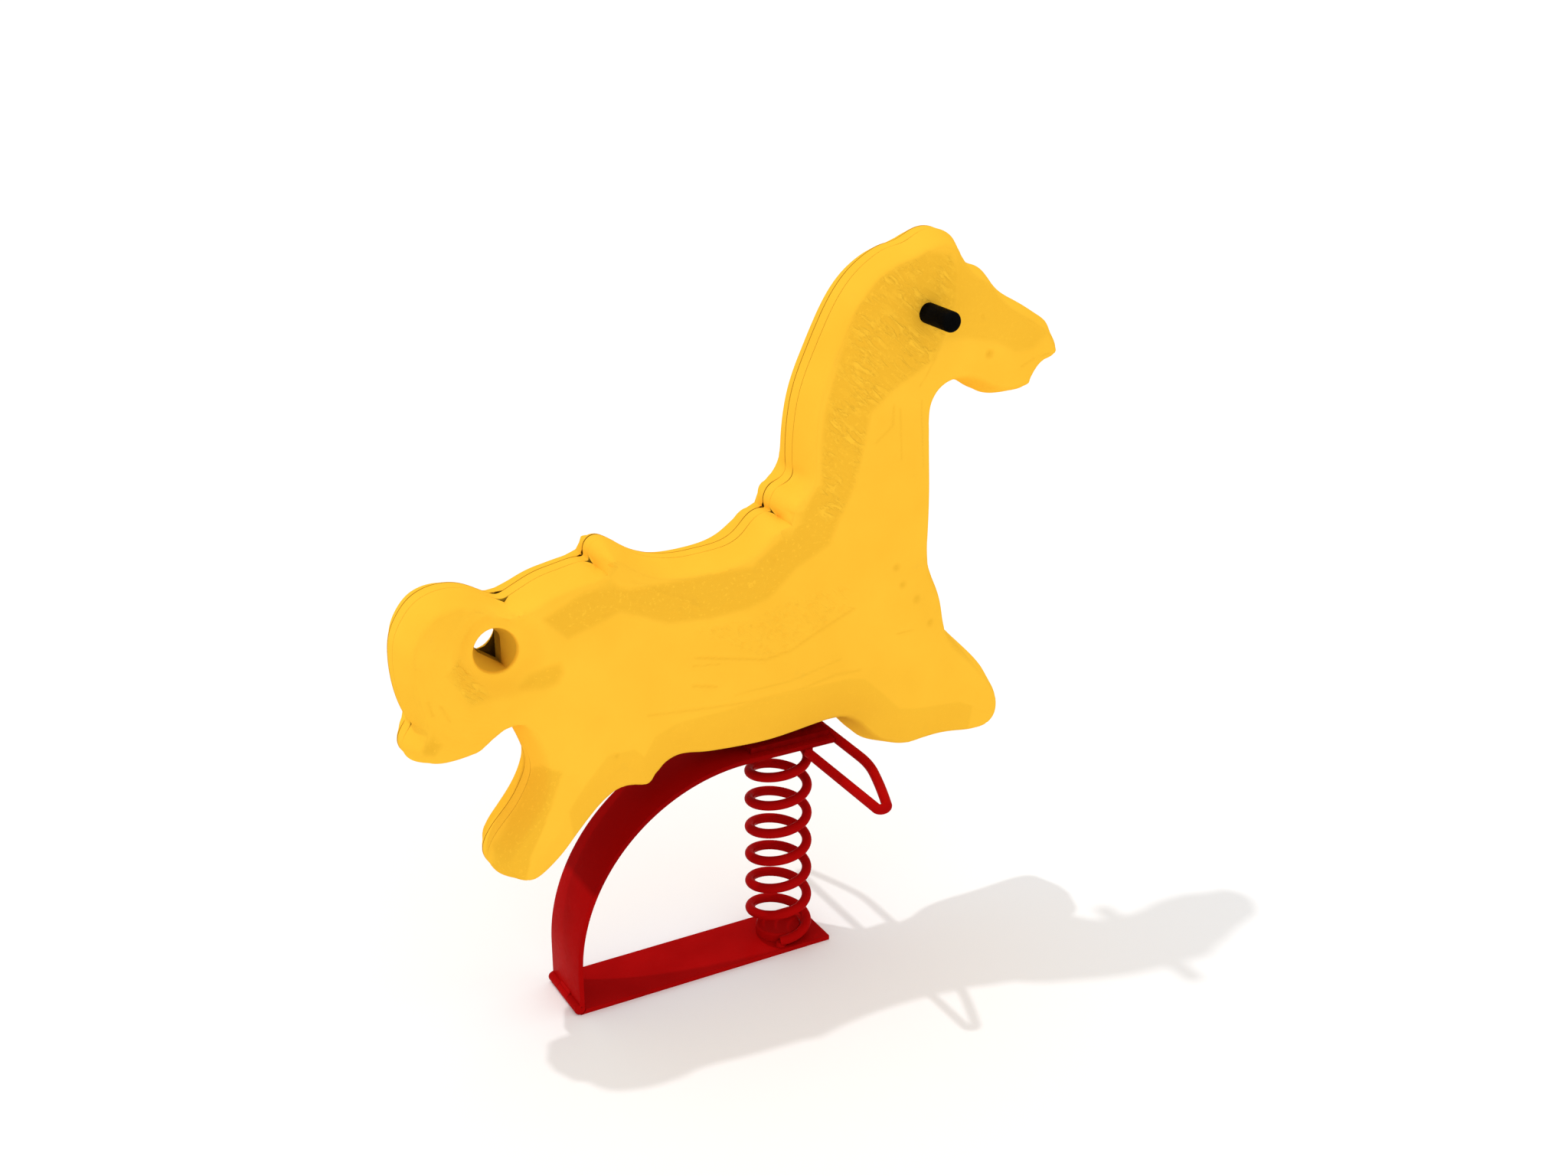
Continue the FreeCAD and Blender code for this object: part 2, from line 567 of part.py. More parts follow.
def make_footrest_rod():
    """Half of the rod is drawn flat, mirrored, then tilted about the rear legs."""
    middle = V(FOOT_LEG_SPACING, 0, 0)
    straight_end = V(FOOT_LEG_SPACING, -FOOT_STRAIGHT_Y, 0)
    sweep, sweep_end = bend(straight_end, 0, FOOT_SWEEP_ANGLE, FOOT_SWEEP_RADIUS)
    outer, outer_end = bend(sweep_end, FOOT_SWEEP_ANGLE, FOOT_OUTER_ANGLE, FOOT_OUTER_RADIUS)
    heading = FOOT_SWEEP_ANGLE + FOOT_OUTER_ANGLE
    tip, tip_end = bend(outer_end, heading, 180 - heading, FOOT_TIP_RADIUS)
    rear_end = V(tip_end.x, -FOOT_REAR_END_Y, 0)
    edges = [Part.LineSegment(middle, straight_end).toShape(), sweep, outer, tip,
             Part.LineSegment(tip_end, rear_end).toShape()]
    section = Part.Wire([Part.makeCircle(ROD_RADIUS, middle, Y_AXIS)])
    half = Part.Wire(edges).makePipeShell([section], True, True)
    rod = half.fuse(mirrored(half)).removeSplitter()
    rod.rotate(V(0, 0, 0), Y_AXIS, -FOOT_TILT)
    rod.translate(V(FOOT_REAR_X, 0, FOOT_REAR_Z))
    return rod


def footrest_front_axis():
    tilt = math.radians(FOOT_TILT)
    return (FOOT_REAR_X + FOOT_LEG_SPACING * math.cos(tilt),
            FOOT_REAR_Z + FOOT_LEG_SPACING * math.sin(tilt))


def make_footrest_front_weld(rod):
    """Bead under the rod along the arm's front edge."""
    x, z = footrest_front_axis()
    half = HALF_WIDTH - FRONT_WELD_SETBACK
    inside = ROD_RADIUS / 2
    corner = [at_xz((ARM_TIP_X, ARM_UNDER_Z), -half),
              at_xz((ARM_TIP_X, ARM_UNDER_Z + FRONT_WELD_RISE), -half),
              at_xz((x - inside, z - inside), -half),
              at_xz((x - inside, ARM_UNDER_Z - FRONT_WELD_DROP), -half)]
    bead = Part.Face(Part.makePolygon(corner + corner[:1])).extrude(V(0, 2 * half, 0))
    return max(bead.cut(rod).Solids, key=lambda s: s.Volume)


def make_footrest_rear_welds(rod):
    """Short beads that hold the two rear legs under the arm's side edges."""
    bead = box(FOOT_REAR_X - REAR_WELD_HALF, FOOT_REAR_X + REAR_WELD_HALF,
               -HALF_WIDTH + REAR_WELD_SETBACK, -FOOT_REAR_END_Y,
               ARM_UNDER_Z - REAR_WELD_DROP, ARM_UNDER_Z)
    solids = bead.cut(rod).Solids
    return joined(solids + [mirrored(s) for s in solids])


# ---- mounting foot ------------------------------------------------------------------------------
def foot_screw_places():
    return [(COIL_X + i * FOOT_SCREW_X, j * FOOT_SCREW_Y) for i in (-1, 1) for j in (-1, 1)]


def foot_web():
    half = FOOT_WEB_LENGTH / 2
    return box(COIL_X - half, COIL_X + half, -BAND_HALF, BAND_HALF,
               ARM_TOP_Z + FOOT_PLATE_HEIGHT, FOOT_WEB_TOP_Z)


def make_mounting_foot():
    half_length = FOOT_PLATE_LENGTH / 2
    half_width = FOOT_PLATE_WIDTH / 2
    plate = box(COIL_X - half_length, COIL_X + half_length, -half_width, half_width,
                ARM_TOP_Z, ARM_TOP_Z + FOOT_PLATE_HEIGHT)
    foot = plate.fuse(foot_web()).removeSplitter()
    for x, z in FOOT_BOLTS:
        foot = foot.cut(cylinder_y(x, z, BOLT_HOLE_RADIUS, -BAND_HALF - 1, BAND_HALF + 1))
    for x, y in foot_screw_places():
        foot = foot.cut(cylinder_z(x, y, FOOT_HOLE_RADIUS, ARM_TOP_Z - 1, FOOT_HOLE_TOP_Z))
    return foot.cut(cylinder_z(COIL_X, 0, SEAT_HOLE_RADIUS, ARM_TOP_Z - 1, FOOT_HOLE_TOP_Z))


def make_foot_screws():
    """Button head screws, driven up through the arm from below."""
    bottom = ARM_UNDER_Z - BUTTON_HEAD_HEIGHT
    screws = []
    for x, y in foot_screw_places():
        shank = cylinder_z(x, y, FOOT_SCREW_RADIUS, ARM_UNDER_Z, FOOT_SCREW_TOP_Z)
        head = cylinder_z(x, y, BUTTON_HEAD_RADIUS, bottom, ARM_UNDER_Z)
        rim = [e for e in head.Edges if e.BoundBox.ZMax < bottom + PICK_TOLERANCE]
        screws.append(head.makeFillet(BUTTON_HEAD_ROUND, rim).fuse(shank).removeSplitter())
    return joined(screws)


# ---- horse body -----------------------------------------------------------------------------------
def outer_half():
    """The solid outer form of the left half, before it is hollowed."""
    stretches = [points for _, points in OUTLINE]
    rim = wire_of(offset_stretches(stretches, 0.0, BAND_HALF))
    flank = wire_of(offset_stretches(stretches, DRAFT_INSET, BODY_HALF))
    body = Part.makeLoft([rim, flank], True, True)
    for inset, half in FIELD_STEPS:
        field = prism(inner_loop(stretches, inset, BODY_HALF - 1), half - BODY_HALF + 1)
        body = body.fuse(field.cut(head_space(0)))
    return body


def head_space(drop):
    """Everything above the height where the head begins, or above a level that far below it."""
    return box(-PLATE_LENGTH, 2 * PLATE_LENGTH, -FIELD_HALF, 2 * FIELD_HALF, HEAD_Z - drop, 2 * HEAD_Z)


def core_half():
    """The hollow inside one shell."""
    stretches = [points for _, points in OUTLINE]
    wide = prism(inner_loop(stretches, CORE_INSET, BAND_HALF - 1), BODY_HALF - WALL - BAND_HALF + 1)
    deep = prism(inner_loop(stretches, DEEP_CORE_INSET, BAND_HALF - 1),
                 FIELD_HALF - WALL - BAND_HALF + 1)
    return wide.fuse(deep.cut(head_space(WALL)))


def eye_cutter():
    """The hole flares from the teardrop at the band to a round rim on the flank."""
    hole = eye_face(0.0, 0).extrude(V(0, FIELD_HALF + 5, 0))
    flare = Part.makeCone(EYE_RADIUS + 1, EYE_RIM_RADIUS, FIELD_HALF - BAND_HALF + 3,
                          V(EYE_CENTRE[0], BAND_HALF, EYE_CENTRE[1]), Y_AXIS)
    return hole.fuse(flare)


def eye_sleeve():
    """The casting's wall around the hole."""
    sleeve = eye_face(WALL, 0).extrude(V(0, FIELD_HALF + 1, 0))
    cone = Part.makeCone(EYE_RADIUS + 1 + WALL, EYE_RIM_RADIUS + WALL, FIELD_HALF - BAND_HALF + 3,
                         V(EYE_CENTRE[0], BAND_HALF, EYE_CENTRE[1]), Y_AXIS)
    return sleeve.fuse(cone)


def bosses(y0, y1):
    """Bolt bosses and the handle's boss; those over the foot's web stop at the band."""
    solids = []
    if y0 >= BAND_HALF:
        solids += [cylinder_y(x, z, BOSS_RADIUS, y0, y1) for x, z in FOOT_BOLTS]
    solids += [cylinder_y(x, z, BOSS_RADIUS, y0, y1) for x, z in BODY_BOLTS]
    solids.append(cylinder_y(HANDLE_X, HANDLE_Z, HANDLE_BOSS_RADIUS, y0, y1))
    return solids


def left_shell_blank():
    kept = bosses(BAND_HALF, FIELD_HALF) + [eye_sleeve()]
    shell = outer_half().cut(core_half().cut(joined(kept)))
    shell = shell.fuse(bosses(0, BAND_HALF))
    bar = cylinder_y(HANDLE_X, HANDLE_Z, HANDLE_TUBE_RADIUS + HOLE_ROOM, -1, FIELD_HALF + 5)
    shell = shell.cut(eye_cutter().fuse(bar))
    return max(shell.Solids, key=lambda s: s.Volume)


def bolt_places():
    return FOOT_BOLTS + BODY_BOLTS


def make_left_shell(blank):
    holes = []
    for x, z in bolt_places():
        holes.append(cylinder_y(x, z, BOLT_HOLE_RADIUS, -1, BOLT_SEAT_Y + 1))
        holes.append(cylinder_y(x, z, COUNTERBORE_RADIUS, BOLT_SEAT_Y, FIELD_HALF + 5))
    return blank.cut(holes)


def make_right_shell(blank):
    holes = [cylinder_y(x, z, BOLT_HOLE_RADIUS, -BOLT_BLIND_DEPTH, 1) for x, z in bolt_places()]
    return mirrored(blank).cut(holes)


def make_centre_band():
    stretches = band_stretches()
    ring = prism(wire_of(offset_stretches(stretches, 0.0, -BAND_HALF)), 2 * BAND_HALF)
    ring = ring.cut(prism(inner_loop(stretches, BAND_DEPTH, -BAND_HALF - 1), 2 * BAND_HALF + 2))
    return ring.cut(foot_web())


def make_tail_eye_ring():
    outer = eye_face(EYE_RING_WALL, -BAND_HALF).extrude(V(0, 2 * BAND_HALF, 0))
    return outer.cut(eye_face(0.0, -BAND_HALF - 1).extrude(V(0, 2 * BAND_HALF + 2, 0)))


def make_body_bolts():
    """Bolts enter from the left and end in the right shell's blind bosses."""
    seat = BOLT_SEAT_Y + WASHER_THICKNESS
    bolts = []
    for x, z in bolt_places():
        shank = cylinder_y(x, z, BOLT_RADIUS, -BOLT_BLIND_DEPTH + 2, seat)
        head = cylinder_y(x, z, BOLT_HEAD_RADIUS, seat, seat + BOLT_HEAD_HEIGHT)
        bolts.append(shank.fuse(head).removeSplitter())
    return joined(bolts)


def make_bolt_washers():
    top = BOLT_SEAT_Y + WASHER_THICKNESS
    washers = []
    for x, z in bolt_places():
        disc = cylinder_y(x, z, WASHER_RADIUS, BOLT_SEAT_Y, top)
        washers.append(disc.cut(cylinder_y(x, z, BOLT_HOLE_RADIUS, BOLT_SEAT_Y - 1, top + 1)))
    return joined(washers)


# ---- handle -----------------------------------------------------------------------------------------
def make_handle_bar():
    tube = cylinder_y(HANDLE_X, HANDLE_Z, HANDLE_TUBE_RADIUS, -HANDLE_END_Y, HANDLE_END_Y)
    return tube.cut(cylinder_y(HANDLE_X, HANDLE_Z, HANDLE_TUBE_RADIUS - HANDLE_TUBE_WALL,
                               -HANDLE_END_Y - 1, HANDLE_END_Y + 1))


def make_left_grip():
    grip = cylinder_y(HANDLE_X, HANDLE_Z, GRIP_RADIUS, GRIP_START_Y, GRIP_END_Y)
    grip = grip.makeFillet(GRIP_END_ROUND, circles_at_y(grip, GRIP_END_Y))
    return grip.cut(cylinder_y(HANDLE_X, HANDLE_Z, HANDLE_TUBE_RADIUS + HOLE_ROOM / 2, 0,
                               HANDLE_END_Y))


def make_handle_set_screws():
    """Grub screws that hold the bar, one in each shell's boss, from the hollow side."""
    screw = cylinder_z(HANDLE_X, SET_SCREW_Y, SET_SCREW_RADIUS, HANDLE_Z - HANDLE_BOSS_RADIUS,
                       HANDLE_Z - HANDLE_TUBE_RADIUS)
    screw = screw.cut(cylinder_y(HANDLE_X, HANDLE_Z, HANDLE_TUBE_RADIUS, 0, BODY_HALF))
    return joined([screw, mirrored(screw)])


def drill_set_screw(shell, side):
    return shell.cut(cylinder_z(HANDLE_X, side * SET_SCREW_Y, SET_SCREW_RADIUS + HOLE_ROOM / 2,
                                HANDLE_Z - HANDLE_BOSS_RADIUS, HANDLE_Z))


def main():
    os.makedirs("parts", exist_ok=True)
    rod = make_footrest_rod()
    coil = make_coil_spring()
    blank = left_shell_blank()
    right_grip = mirrored(make_left_grip())
    save("base_plate", make_base_plate())
    save("base_knuckles", make_base_knuckles())
    save("knuckle_welds", make_knuckle_welds())
    save("hinge_pin", make_hinge_pin())
    save("pin_cap", make_pin_cap())
    save("arm_knuckle", make_arm_knuckle())
    save("spring_arm", make_spring_arm())
    save("arm_knuckle_weld", make_arm_knuckle_weld())
    save("coil_spring", coil)
    save("lower_spring_weld", make_lower_spring_weld(coil))
    save("upper_spring_weld", make_upper_spring_weld(coil))
    save("lower_spring_seat", make_lower_spring_seat())
    save("lower_seat_screw", make_lower_seat_screw())
    save("upper_spring_seat", make_upper_spring_seat())
    save("upper_seat_screw", make_upper_seat_screw())
    save("footrest_rod", rod)
    save("footrest_front_weld", make_footrest_front_weld(rod))
    save("footrest_rear_welds", make_footrest_rear_welds(rod))
    save("mounting_foot", make_mounting_foot())
    save("foot_screws", make_foot_screws())
    save("centre_band", make_centre_band())
    save("tail_eye_ring", make_tail_eye_ring())
    save("left_shell", drill_set_screw(make_left_shell(blank), 1))
    save("right_shell", drill_set_screw(make_right_shell(blank), -1))
    save("body_bolts", make_body_bolts())
    save("bolt_washers", make_bolt_washers())
    save("handle_bar", make_handle_bar())
    save("left_grip", make_left_grip())
    save("right_grip", right_grip)
    save("handle_set_screws", make_handle_set_screws())


main()
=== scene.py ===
"""Looks for the spring rider horse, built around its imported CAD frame.

The two shells, the band between them, the curved arm, the coil and the grips get detailed
meshes; the other nodes keep their CAD shape and get a procedural finish. Shapes are worked out
in millimetres in the row frame and go into Blender in metres.
"""
import math
from collections import namedtuple

import bmesh
import bpy
import numpy as np
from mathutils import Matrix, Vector, noise
from mathutils.geometry import delaunay_2d_cdt
from mathutils.kdtree import KDTree


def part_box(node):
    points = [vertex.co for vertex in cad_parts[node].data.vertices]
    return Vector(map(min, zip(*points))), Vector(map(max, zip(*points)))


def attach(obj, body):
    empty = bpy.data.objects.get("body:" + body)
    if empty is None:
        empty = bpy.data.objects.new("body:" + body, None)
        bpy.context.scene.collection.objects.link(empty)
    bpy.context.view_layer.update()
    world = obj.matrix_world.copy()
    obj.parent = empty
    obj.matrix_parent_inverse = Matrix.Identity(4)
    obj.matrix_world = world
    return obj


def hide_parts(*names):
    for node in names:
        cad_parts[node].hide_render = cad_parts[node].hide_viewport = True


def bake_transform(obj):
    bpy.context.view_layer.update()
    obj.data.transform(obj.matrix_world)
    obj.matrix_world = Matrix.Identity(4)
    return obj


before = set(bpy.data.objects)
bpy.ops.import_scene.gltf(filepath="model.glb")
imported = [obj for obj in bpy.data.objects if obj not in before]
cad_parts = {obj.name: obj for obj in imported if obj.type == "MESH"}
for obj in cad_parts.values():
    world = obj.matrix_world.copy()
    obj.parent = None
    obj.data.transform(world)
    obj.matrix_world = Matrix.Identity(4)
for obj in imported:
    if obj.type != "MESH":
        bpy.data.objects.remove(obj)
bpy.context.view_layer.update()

MM = 0.001

# ---- the shells' form, in millimetres ----
CORNER_TURN = 25.0            # degrees; sharper turns of the outline stay corners
RIM_SPACING = 2.3
EYE_SPACING = 1.6
RING_DEPTHS = (0.5, 1.2, 2.1, 3.2, 4.5, 6.0, 7.6, 9.2, 10.8, 12.4, 14.2, 16.4, 19.0, 22.0)
EYE_RING_DEPTHS = (0.5, 1.2, 2.1, 3.2, 4.5)
EDGE_SPACING = 1.9            # between points on one ring
GRID_SPACING = 2.6
INNER_RING_DEPTHS = (1.0, 5.0, 6.5, 8.5, 11.5, 15.5, 20.0)
INNER_EDGE_SPACING = 4.0
INNER_GRID_SPACING = 9.0
FREE_RING_DEPTH = 1.0         # rings nearer the edge than this don't thin each other out
RING_SLACK = 0.02             # how much nearer than its depth a ring's point may lie
RING_SLACK_SHARE = 0.03       # and this share of its depth on top
GRID_CLEARANCE = 0.6          # between the last ring and the grid, in grid steps
WALL = 5.0

FLANK = 56.0                  # half width of the trunk
HEAD_FLANK = 46.5             # half width beside the handle
MUZZLE_FLANK = 38.0
TAIL_FLANK = 52.0
HEAD_HEIGHTS = (600.0, 800.0)         # where the trunk's width turns into the head's
MUZZLE_LENGTHS = (395.0, 515.0)       # where the head's width turns into the muzzle's...
MUZZLE_HEIGHTS = (640.0, 700.0)       # ...above the chest only
TAIL_LENGTHS = (230.0, 300.0)         # behind the origin, where the trunk turns into the tail
SHOULDER_SHARE = 0.84         # of the flank, where the drafted side wall ends
WALL_INSET = 12.0
BEVEL_INSET = 50.0            # from here inwards the flank is flat
SHOULDER_ROUND = 8.0
BEVEL_ROUND = 2.5

EYE_RIM = (-254.0, 510.5)     # the tail eye's round rim on the flank
EYE_RIM_RADIUS = 26.5
EYE_EDGE_ROUND = 2.5
EYE_DISH_DEPTH = 15.0         # the flank sinks this much towards the rim...
EYE_DISH_REACH = 34.0         # ...from this far outside it...
EYE_DISH_START = (6.0, 22.0)  # ...and from these depths inside the outline
EYE_STEPS = 9
EYE_SHADE = 1.4               # how much painted shade the near hole and the far hole get, from 0 to 2
FAR_EYE_SHADE = 2.0
INNER_EYE_CLEARANCE = 6.0     # the inner sheet's points keep this far outside the rim
COLLAR_SLOPE = 4.0            # how steeply the inner sheet drops to the band...
COLLAR_START = WALL + 3.0     # ...from this far outside the rim

SEAM_GAP = 0.2                # between the shells' rims and the band
SEAM_DEPTH = 3.2              # of the groove along the band's edges
SEAM_SHADE = 1.7              # painted shade in the groove, from 0 to 2
INSIDE_SHADE = 2.0            # and the shells' insides
NOTCH_ABOVE = 550.0           # the shells stand off the band at the notches above this...
NOTCH_BEHIND = 200.0          # ...and behind this...
NOTCH_GAP = 8.0               # ...by so much at the corner...
NOTCH_REACH = 9.0             # ...and so far from it they meet the band again
RIM_RISE = 1.5                # the outer sheet's least slope beside its rim...
RIM_RISE_REACH = 3.0          # ...as far inside as this
NOTCH_SMOOTHING = 15.0        # the walls ignore notches smaller than this...
NOTCH_FADE = (0.8, 9.0)       # ...from this depth inside the outline to that one
BUMP_SHARE = 0.4              # bumps that stick out are eased only this much

BAND_SMOOTHING = 4.5
BAND_NORMAL_SMOOTHING = 3.0
BAND_THICKNESS = 6.0
BAND_CLEARANCE = 0.1          # the band is this much inside its CAD shape on each side


# ---- reading the frame ----
def node_box_mm(node):
    low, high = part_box(node)
    return low / MM, high / MM


FLAT_TOLERANCE = 0.01


def flat_face_loops(node, y):
    """Loops round a node's flat faces in the plane at y, as lists of (x, z)."""
    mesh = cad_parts[node].data
    mesh.calc_loop_triangles()
    points = [tuple(round(c / MM, 3) for c in vertex.co) for vertex in mesh.vertices]
    edges = set()
    for triangle in mesh.loop_triangles:
        corners = [points[i] for i in triangle.vertices]
        if all(abs(corner[1] - y) < FLAT_TOLERANCE for corner in corners):
            edges.update(zip(corners, corners[1:] + corners[:1]))
    following = {a: b for a, b in edges if (b, a) not in edges}
    loops = []
    while following:
        point = min(following)
        loop = []
        while point in following:
            loop.append((point[0], point[2]))
            point = following.pop(point)
        loops.append(loop)
    return loops


def loop_area(loop):
    pairs = zip(loop, loop[1:] + loop[:1])
    return sum(a[0] * b[1] - b[0] * a[1] for a, b in pairs) / 2


def anticlockwise(loop):
    return loop if loop_area(loop) > 0 else loop[::-1]


def corner_indices(loop):
    """Where the loop turns sharply; a smooth loop counts as having one corner."""
    found = []
    for i, here in enumerate(loop):
        before = loop[i - 1]
        after = loop[(i + 1) % len(loop)]
        turn = math.atan2(after[1] - here[1], after[0] - here[0])
        turn -= math.atan2(here[1] - before[1], here[0] - before[0])
        turn = (turn + math.pi) % (2 * math.pi) - math.pi
        if abs(turn) > math.radians(CORNER_TURN):
            found.append(i)
    return found or [0]


def smooth_run(points, spacing):
    """Evenly spaced points on a smooth curve through the given ones, without the last."""
    points = np.array(points, float)
    steps = np.linalg.norm(np.diff(points, axis=0), axis=1)
    place = np.concatenate([[0.0], np.cumsum(steps)])
    slope = np.gradient(points, place, axis=0)
    count = max(2, round(place[-1] / spacing))
    wanted = np.linspace(0, place[-1], count + 1)[:-1]
    k = np.clip(np.searchsorted(place, wanted, "right") - 1, 0, len(steps) - 1)
    width = steps[k][:, None]
    t = ((wanted - place[k]) / steps[k])[:, None]
    return ((2 * t**3 - 3 * t**2 + 1) * points[k] + (t**3 - 2 * t**2 + t) * width * slope[k]
            + (3 * t**2 - 2 * t**3) * points[k + 1] + (t**3 - t**2) * width * slope[k + 1])


def resampled(loop, spacing):
    """The loop with evenly spaced points, smooth between its corners."""
    corners = corner_indices(loop)
    runs = []
    for start, end in zip(corners, corners[1:] + [corners[0] + len(loop)]):
        runs.append(smooth_run([loop[i % len(loop)] for i in range(start, end + 1)], spacing))
    return np.concatenate(runs)


def inward_normals(loop):
    """Unit vectors to the left of an anticlockwise loop."""
    along = np.roll(loop, -1, axis=0) - np.roll(loop, 1, axis=0)
    inward = np.stack([-along[:, 1], along[:, 0]], axis=1)
    return inward / np.linalg.norm(inward, axis=1, keepdims=True)


def smoothed_loop(loop, reach):
    """The loop with its corners eased over about that length."""
    spacing = np.linalg.norm(np.roll(loop, -1, axis=0) - loop, axis=1).mean()
    count = int(3 * reach / spacing) + 1
    weights = np.exp(-0.5 * (np.arange(-count, count + 1) * spacing / reach) ** 2)
    weights /= weights.sum()
    return sum(w * np.roll(loop, k, axis=0) for w, k in zip(weights, range(-count, count + 1)))


BAND_HALF = node_box_mm("centre_band")[1].y
RIM_LOOPS = flat_face_loops("right_shell", -BAND_HALF)
OUTLINE_LOOP = anticlockwise(max(RIM_LOOPS, key=lambda loop: abs(loop_area(loop))))
OUTLINE = resampled(OUTLINE_LOOP, RIM_SPACING)
EYE_LOOPS = flat_face_loops("tail_eye_ring", -BAND_HALF)
SMALLEST_EYE_LOOP = anticlockwise(min(EYE_LOOPS, key=lambda loop: abs(loop_area(loop))))
EYE_LOOP = resampled(SMALLEST_EYE_LOOP, EYE_SPACING)


# ---- small fields over the side view ----
class Nearness:
    """Distance from points in the side view to a path."""

    def __init__(self, path, closed=False, spacing=0.5):
        path = np.array(path, float)
        ends = np.roll(path, -1, axis=0) if closed else path[1:]
        starts = path if closed else path[:-1]
        samples = []
        for a, b in zip(starts, ends):
            count = max(1, math.ceil(math.dist(a, b) / spacing))
            samples.extend(a + (b - a) * i / count for i in range(count))
        samples.append(ends[-1])
        self.tree = KDTree(len(samples))
        for i, point in enumerate(samples):
            self.tree.insert((point[0], point[1], 0.0), i)
        self.tree.balance()

    def __call__(self, points):
        return np.array([self.tree.find((x, z, 0.0))[2] for x, z in points])


def inside(points, polygon):
    """True for the points that lie within the polygon."""
    corners = [tuple(corner) for corner in polygon]
    x, z = points[:, 0], points[:, 1]
    found = np.zeros(len(points), bool)
    for (x0, z0), (x1, z1) in zip(corners, corners[1:] + corners[:1]):
        if z0 == z1:
            continue
        crosses = (z0 > z) != (z1 > z)
        found ^= crosses & (x < (x1 - x0) * (z - z0) / (z1 - z0) + x0)
    return found


def ease(values, low, high):
    """From 0 at low to 1 at high, levelling off at both ends."""
    t = np.clip((values - low) / (high - low), 0, 1)
    return t * t * (3 - 2 * t)


def patch(points, polygon, edge):
    """1 inside a polygon and 0 outside, with a soft edge of that width."""
    distance = Nearness(polygon, closed=True)(points)
    signed = np.where(inside(points, polygon), distance, -distance)
    return ease(signed, -edge / 2, edge / 2)


def line(points, path, width):
    """1 on a path, fading to 0 at half the width to either side."""
    return 1 - ease(Nearness(path)(points), 0, width / 2)


def spot(points, centre, radius):
    """1 at the centre, fading to 0 at the radius."""
    return 1 - ease(np.linalg.norm(points - np.array(centre), axis=1), 0, radius)


WARP_LENGTH = 22.0
WARP_SEED_STEP = 5.0

Ripples = namedtuple("Ripples", "heading across along seed waviness", defaults=(6.0,))


def ripples(points, pattern):
    """Noise drawn out along a heading, from -1 to 1."""
    heading, across, along, seed, waviness = pattern
    turn = math.radians(heading)
    u = points[:, 0] * math.cos(turn) + points[:, 1] * math.sin(turn)
    v = -points[:, 0] * math.sin(turn) + points[:, 1] * math.cos(turn)
    warp = [noise.noise((x / WARP_LENGTH, z / WARP_LENGTH, seed + WARP_SEED_STEP)) * waviness
            for x, z in points]
    return np.array([noise.noise((a / along, (b + w) / across, seed))
                     for a, b, w in zip(u, v, warp)])


def smooth_min(a, b, blend):
    """The smaller of two surfaces, rounded where they cross."""
    h = np.clip(0.5 + 0.5 * (b - a) / blend, 0, 1)
    return b + (a - b) * h - blend * h * (1 - h)


# ---- relief on the flank, in millimetres in the side view ----
# A region's shade is painted shade in its recess.
Region = namedtuple("Region", "outline edge sink shade")

MANE = Region(
    [(163, 640), (164, 690), (170, 728), (183, 768), (199, 810), (214, 848), (246, 882), (274, 894),
     (310, 906), (342, 900), (354, 876), (347, 840), (334, 806), (318, 776), (262, 748), (230, 724),
     (219, 684), (206, 640), (188, 604), (166, 596), (158, 610)], edge=9, sink=1.6, shade=0.8)
SADDLE_BAND = Region(
    [(-199, 543), (-149, 565), (-113, 568), (-95, 559), (-27, 556), (69, 556), (93, 574),
     (129, 600), (158, 640), (190, 630), (186, 603), (170, 568), (125, 546), (89, 515), (57, 506),
     (10, 504), (-48, 509), (-85, 527), (-107, 536), (-173, 516)], edge=9, sink=1.6, shade=0.8)
FACE = Region(
    [(352, 896), (385, 868), (411, 850), (447, 820), (478, 797), (497, 784), (471, 769), (441, 770),
     (411, 786), (365, 797), (338, 800), (350, 850)], edge=12, sink=1.1, shade=0.5)
BLANKET = Region(
    [(-12, 492), (42, 458), (86, 436), (152, 454), (206, 476), (197, 511), (123, 506), (46, 491)],
    edge=10, sink=0.0, shade=0.0)
TAIL_HATCH = Region(
    [(-318, 500), (-293, 456), (-268, 462), (-286, 490), (-300, 515)], edge=8, sink=0.8, shade=0.4)
RUMP_HOLLOW = Region(
    [(-232, 467), (-222, 478), (-205, 485), (-184, 486), (-181, 476), (-188, 464), (-205, 461)],
    edge=12, sink=2.6, shade=0.8)
TAIL_TIP = Region(
    [(-356, 436), (-342, 440), (-328, 414), (-336, 402), (-352, 406)], edge=8, sink=1.6, shade=1.0)
REGIONS = (MANE, SADDLE_BAND, FACE, BLANKET, TAIL_HATCH, RUMP_HOLLOW, TAIL_TIP)

FLANK_START = (10.0, 16.0)    # the relief sets in between these depths inside the outline
STRANDS = Ripples(-42, 6.5, 24, 1.0, 10.0)
STRAND_HEIGHT = 0.9
WEAR = Ripples(0, 26, 30, 4.0)
WEAR_RANGE = (-0.35, 0.15)
GRAIN = Ripples(20, 5.5, 8, 3.0)
GRAIN_HEIGHT = 0.7
FACE_GRAIN = 0.6              # as a share of the saddle band's
DIMPLES = Ripples(25, 6.0, 9, 7.0)
DIMPLE_RANGE = (0.12, 0.42)
DIMPLE_DEPTH = 1.2
WAVES = Ripples(0, 55, 70, 11.0)
WAVE_HEIGHT = 0.35
FINE_WAVES = Ripples(60, 14, 18, 13.0)
FINE_WAVE_HEIGHT = 0.12

WORN_STROKES = 0.25           # how strongly each region carries the mane's fine strokes
HATCH_STROKES = 0.8
BLANKET_STROKES = 0.35
GROOVE_SHADE = 0.45           # painted shade in the creases, from 0 to 1
FACET_EDGE = 3.0              # over which a shaded facet fades out

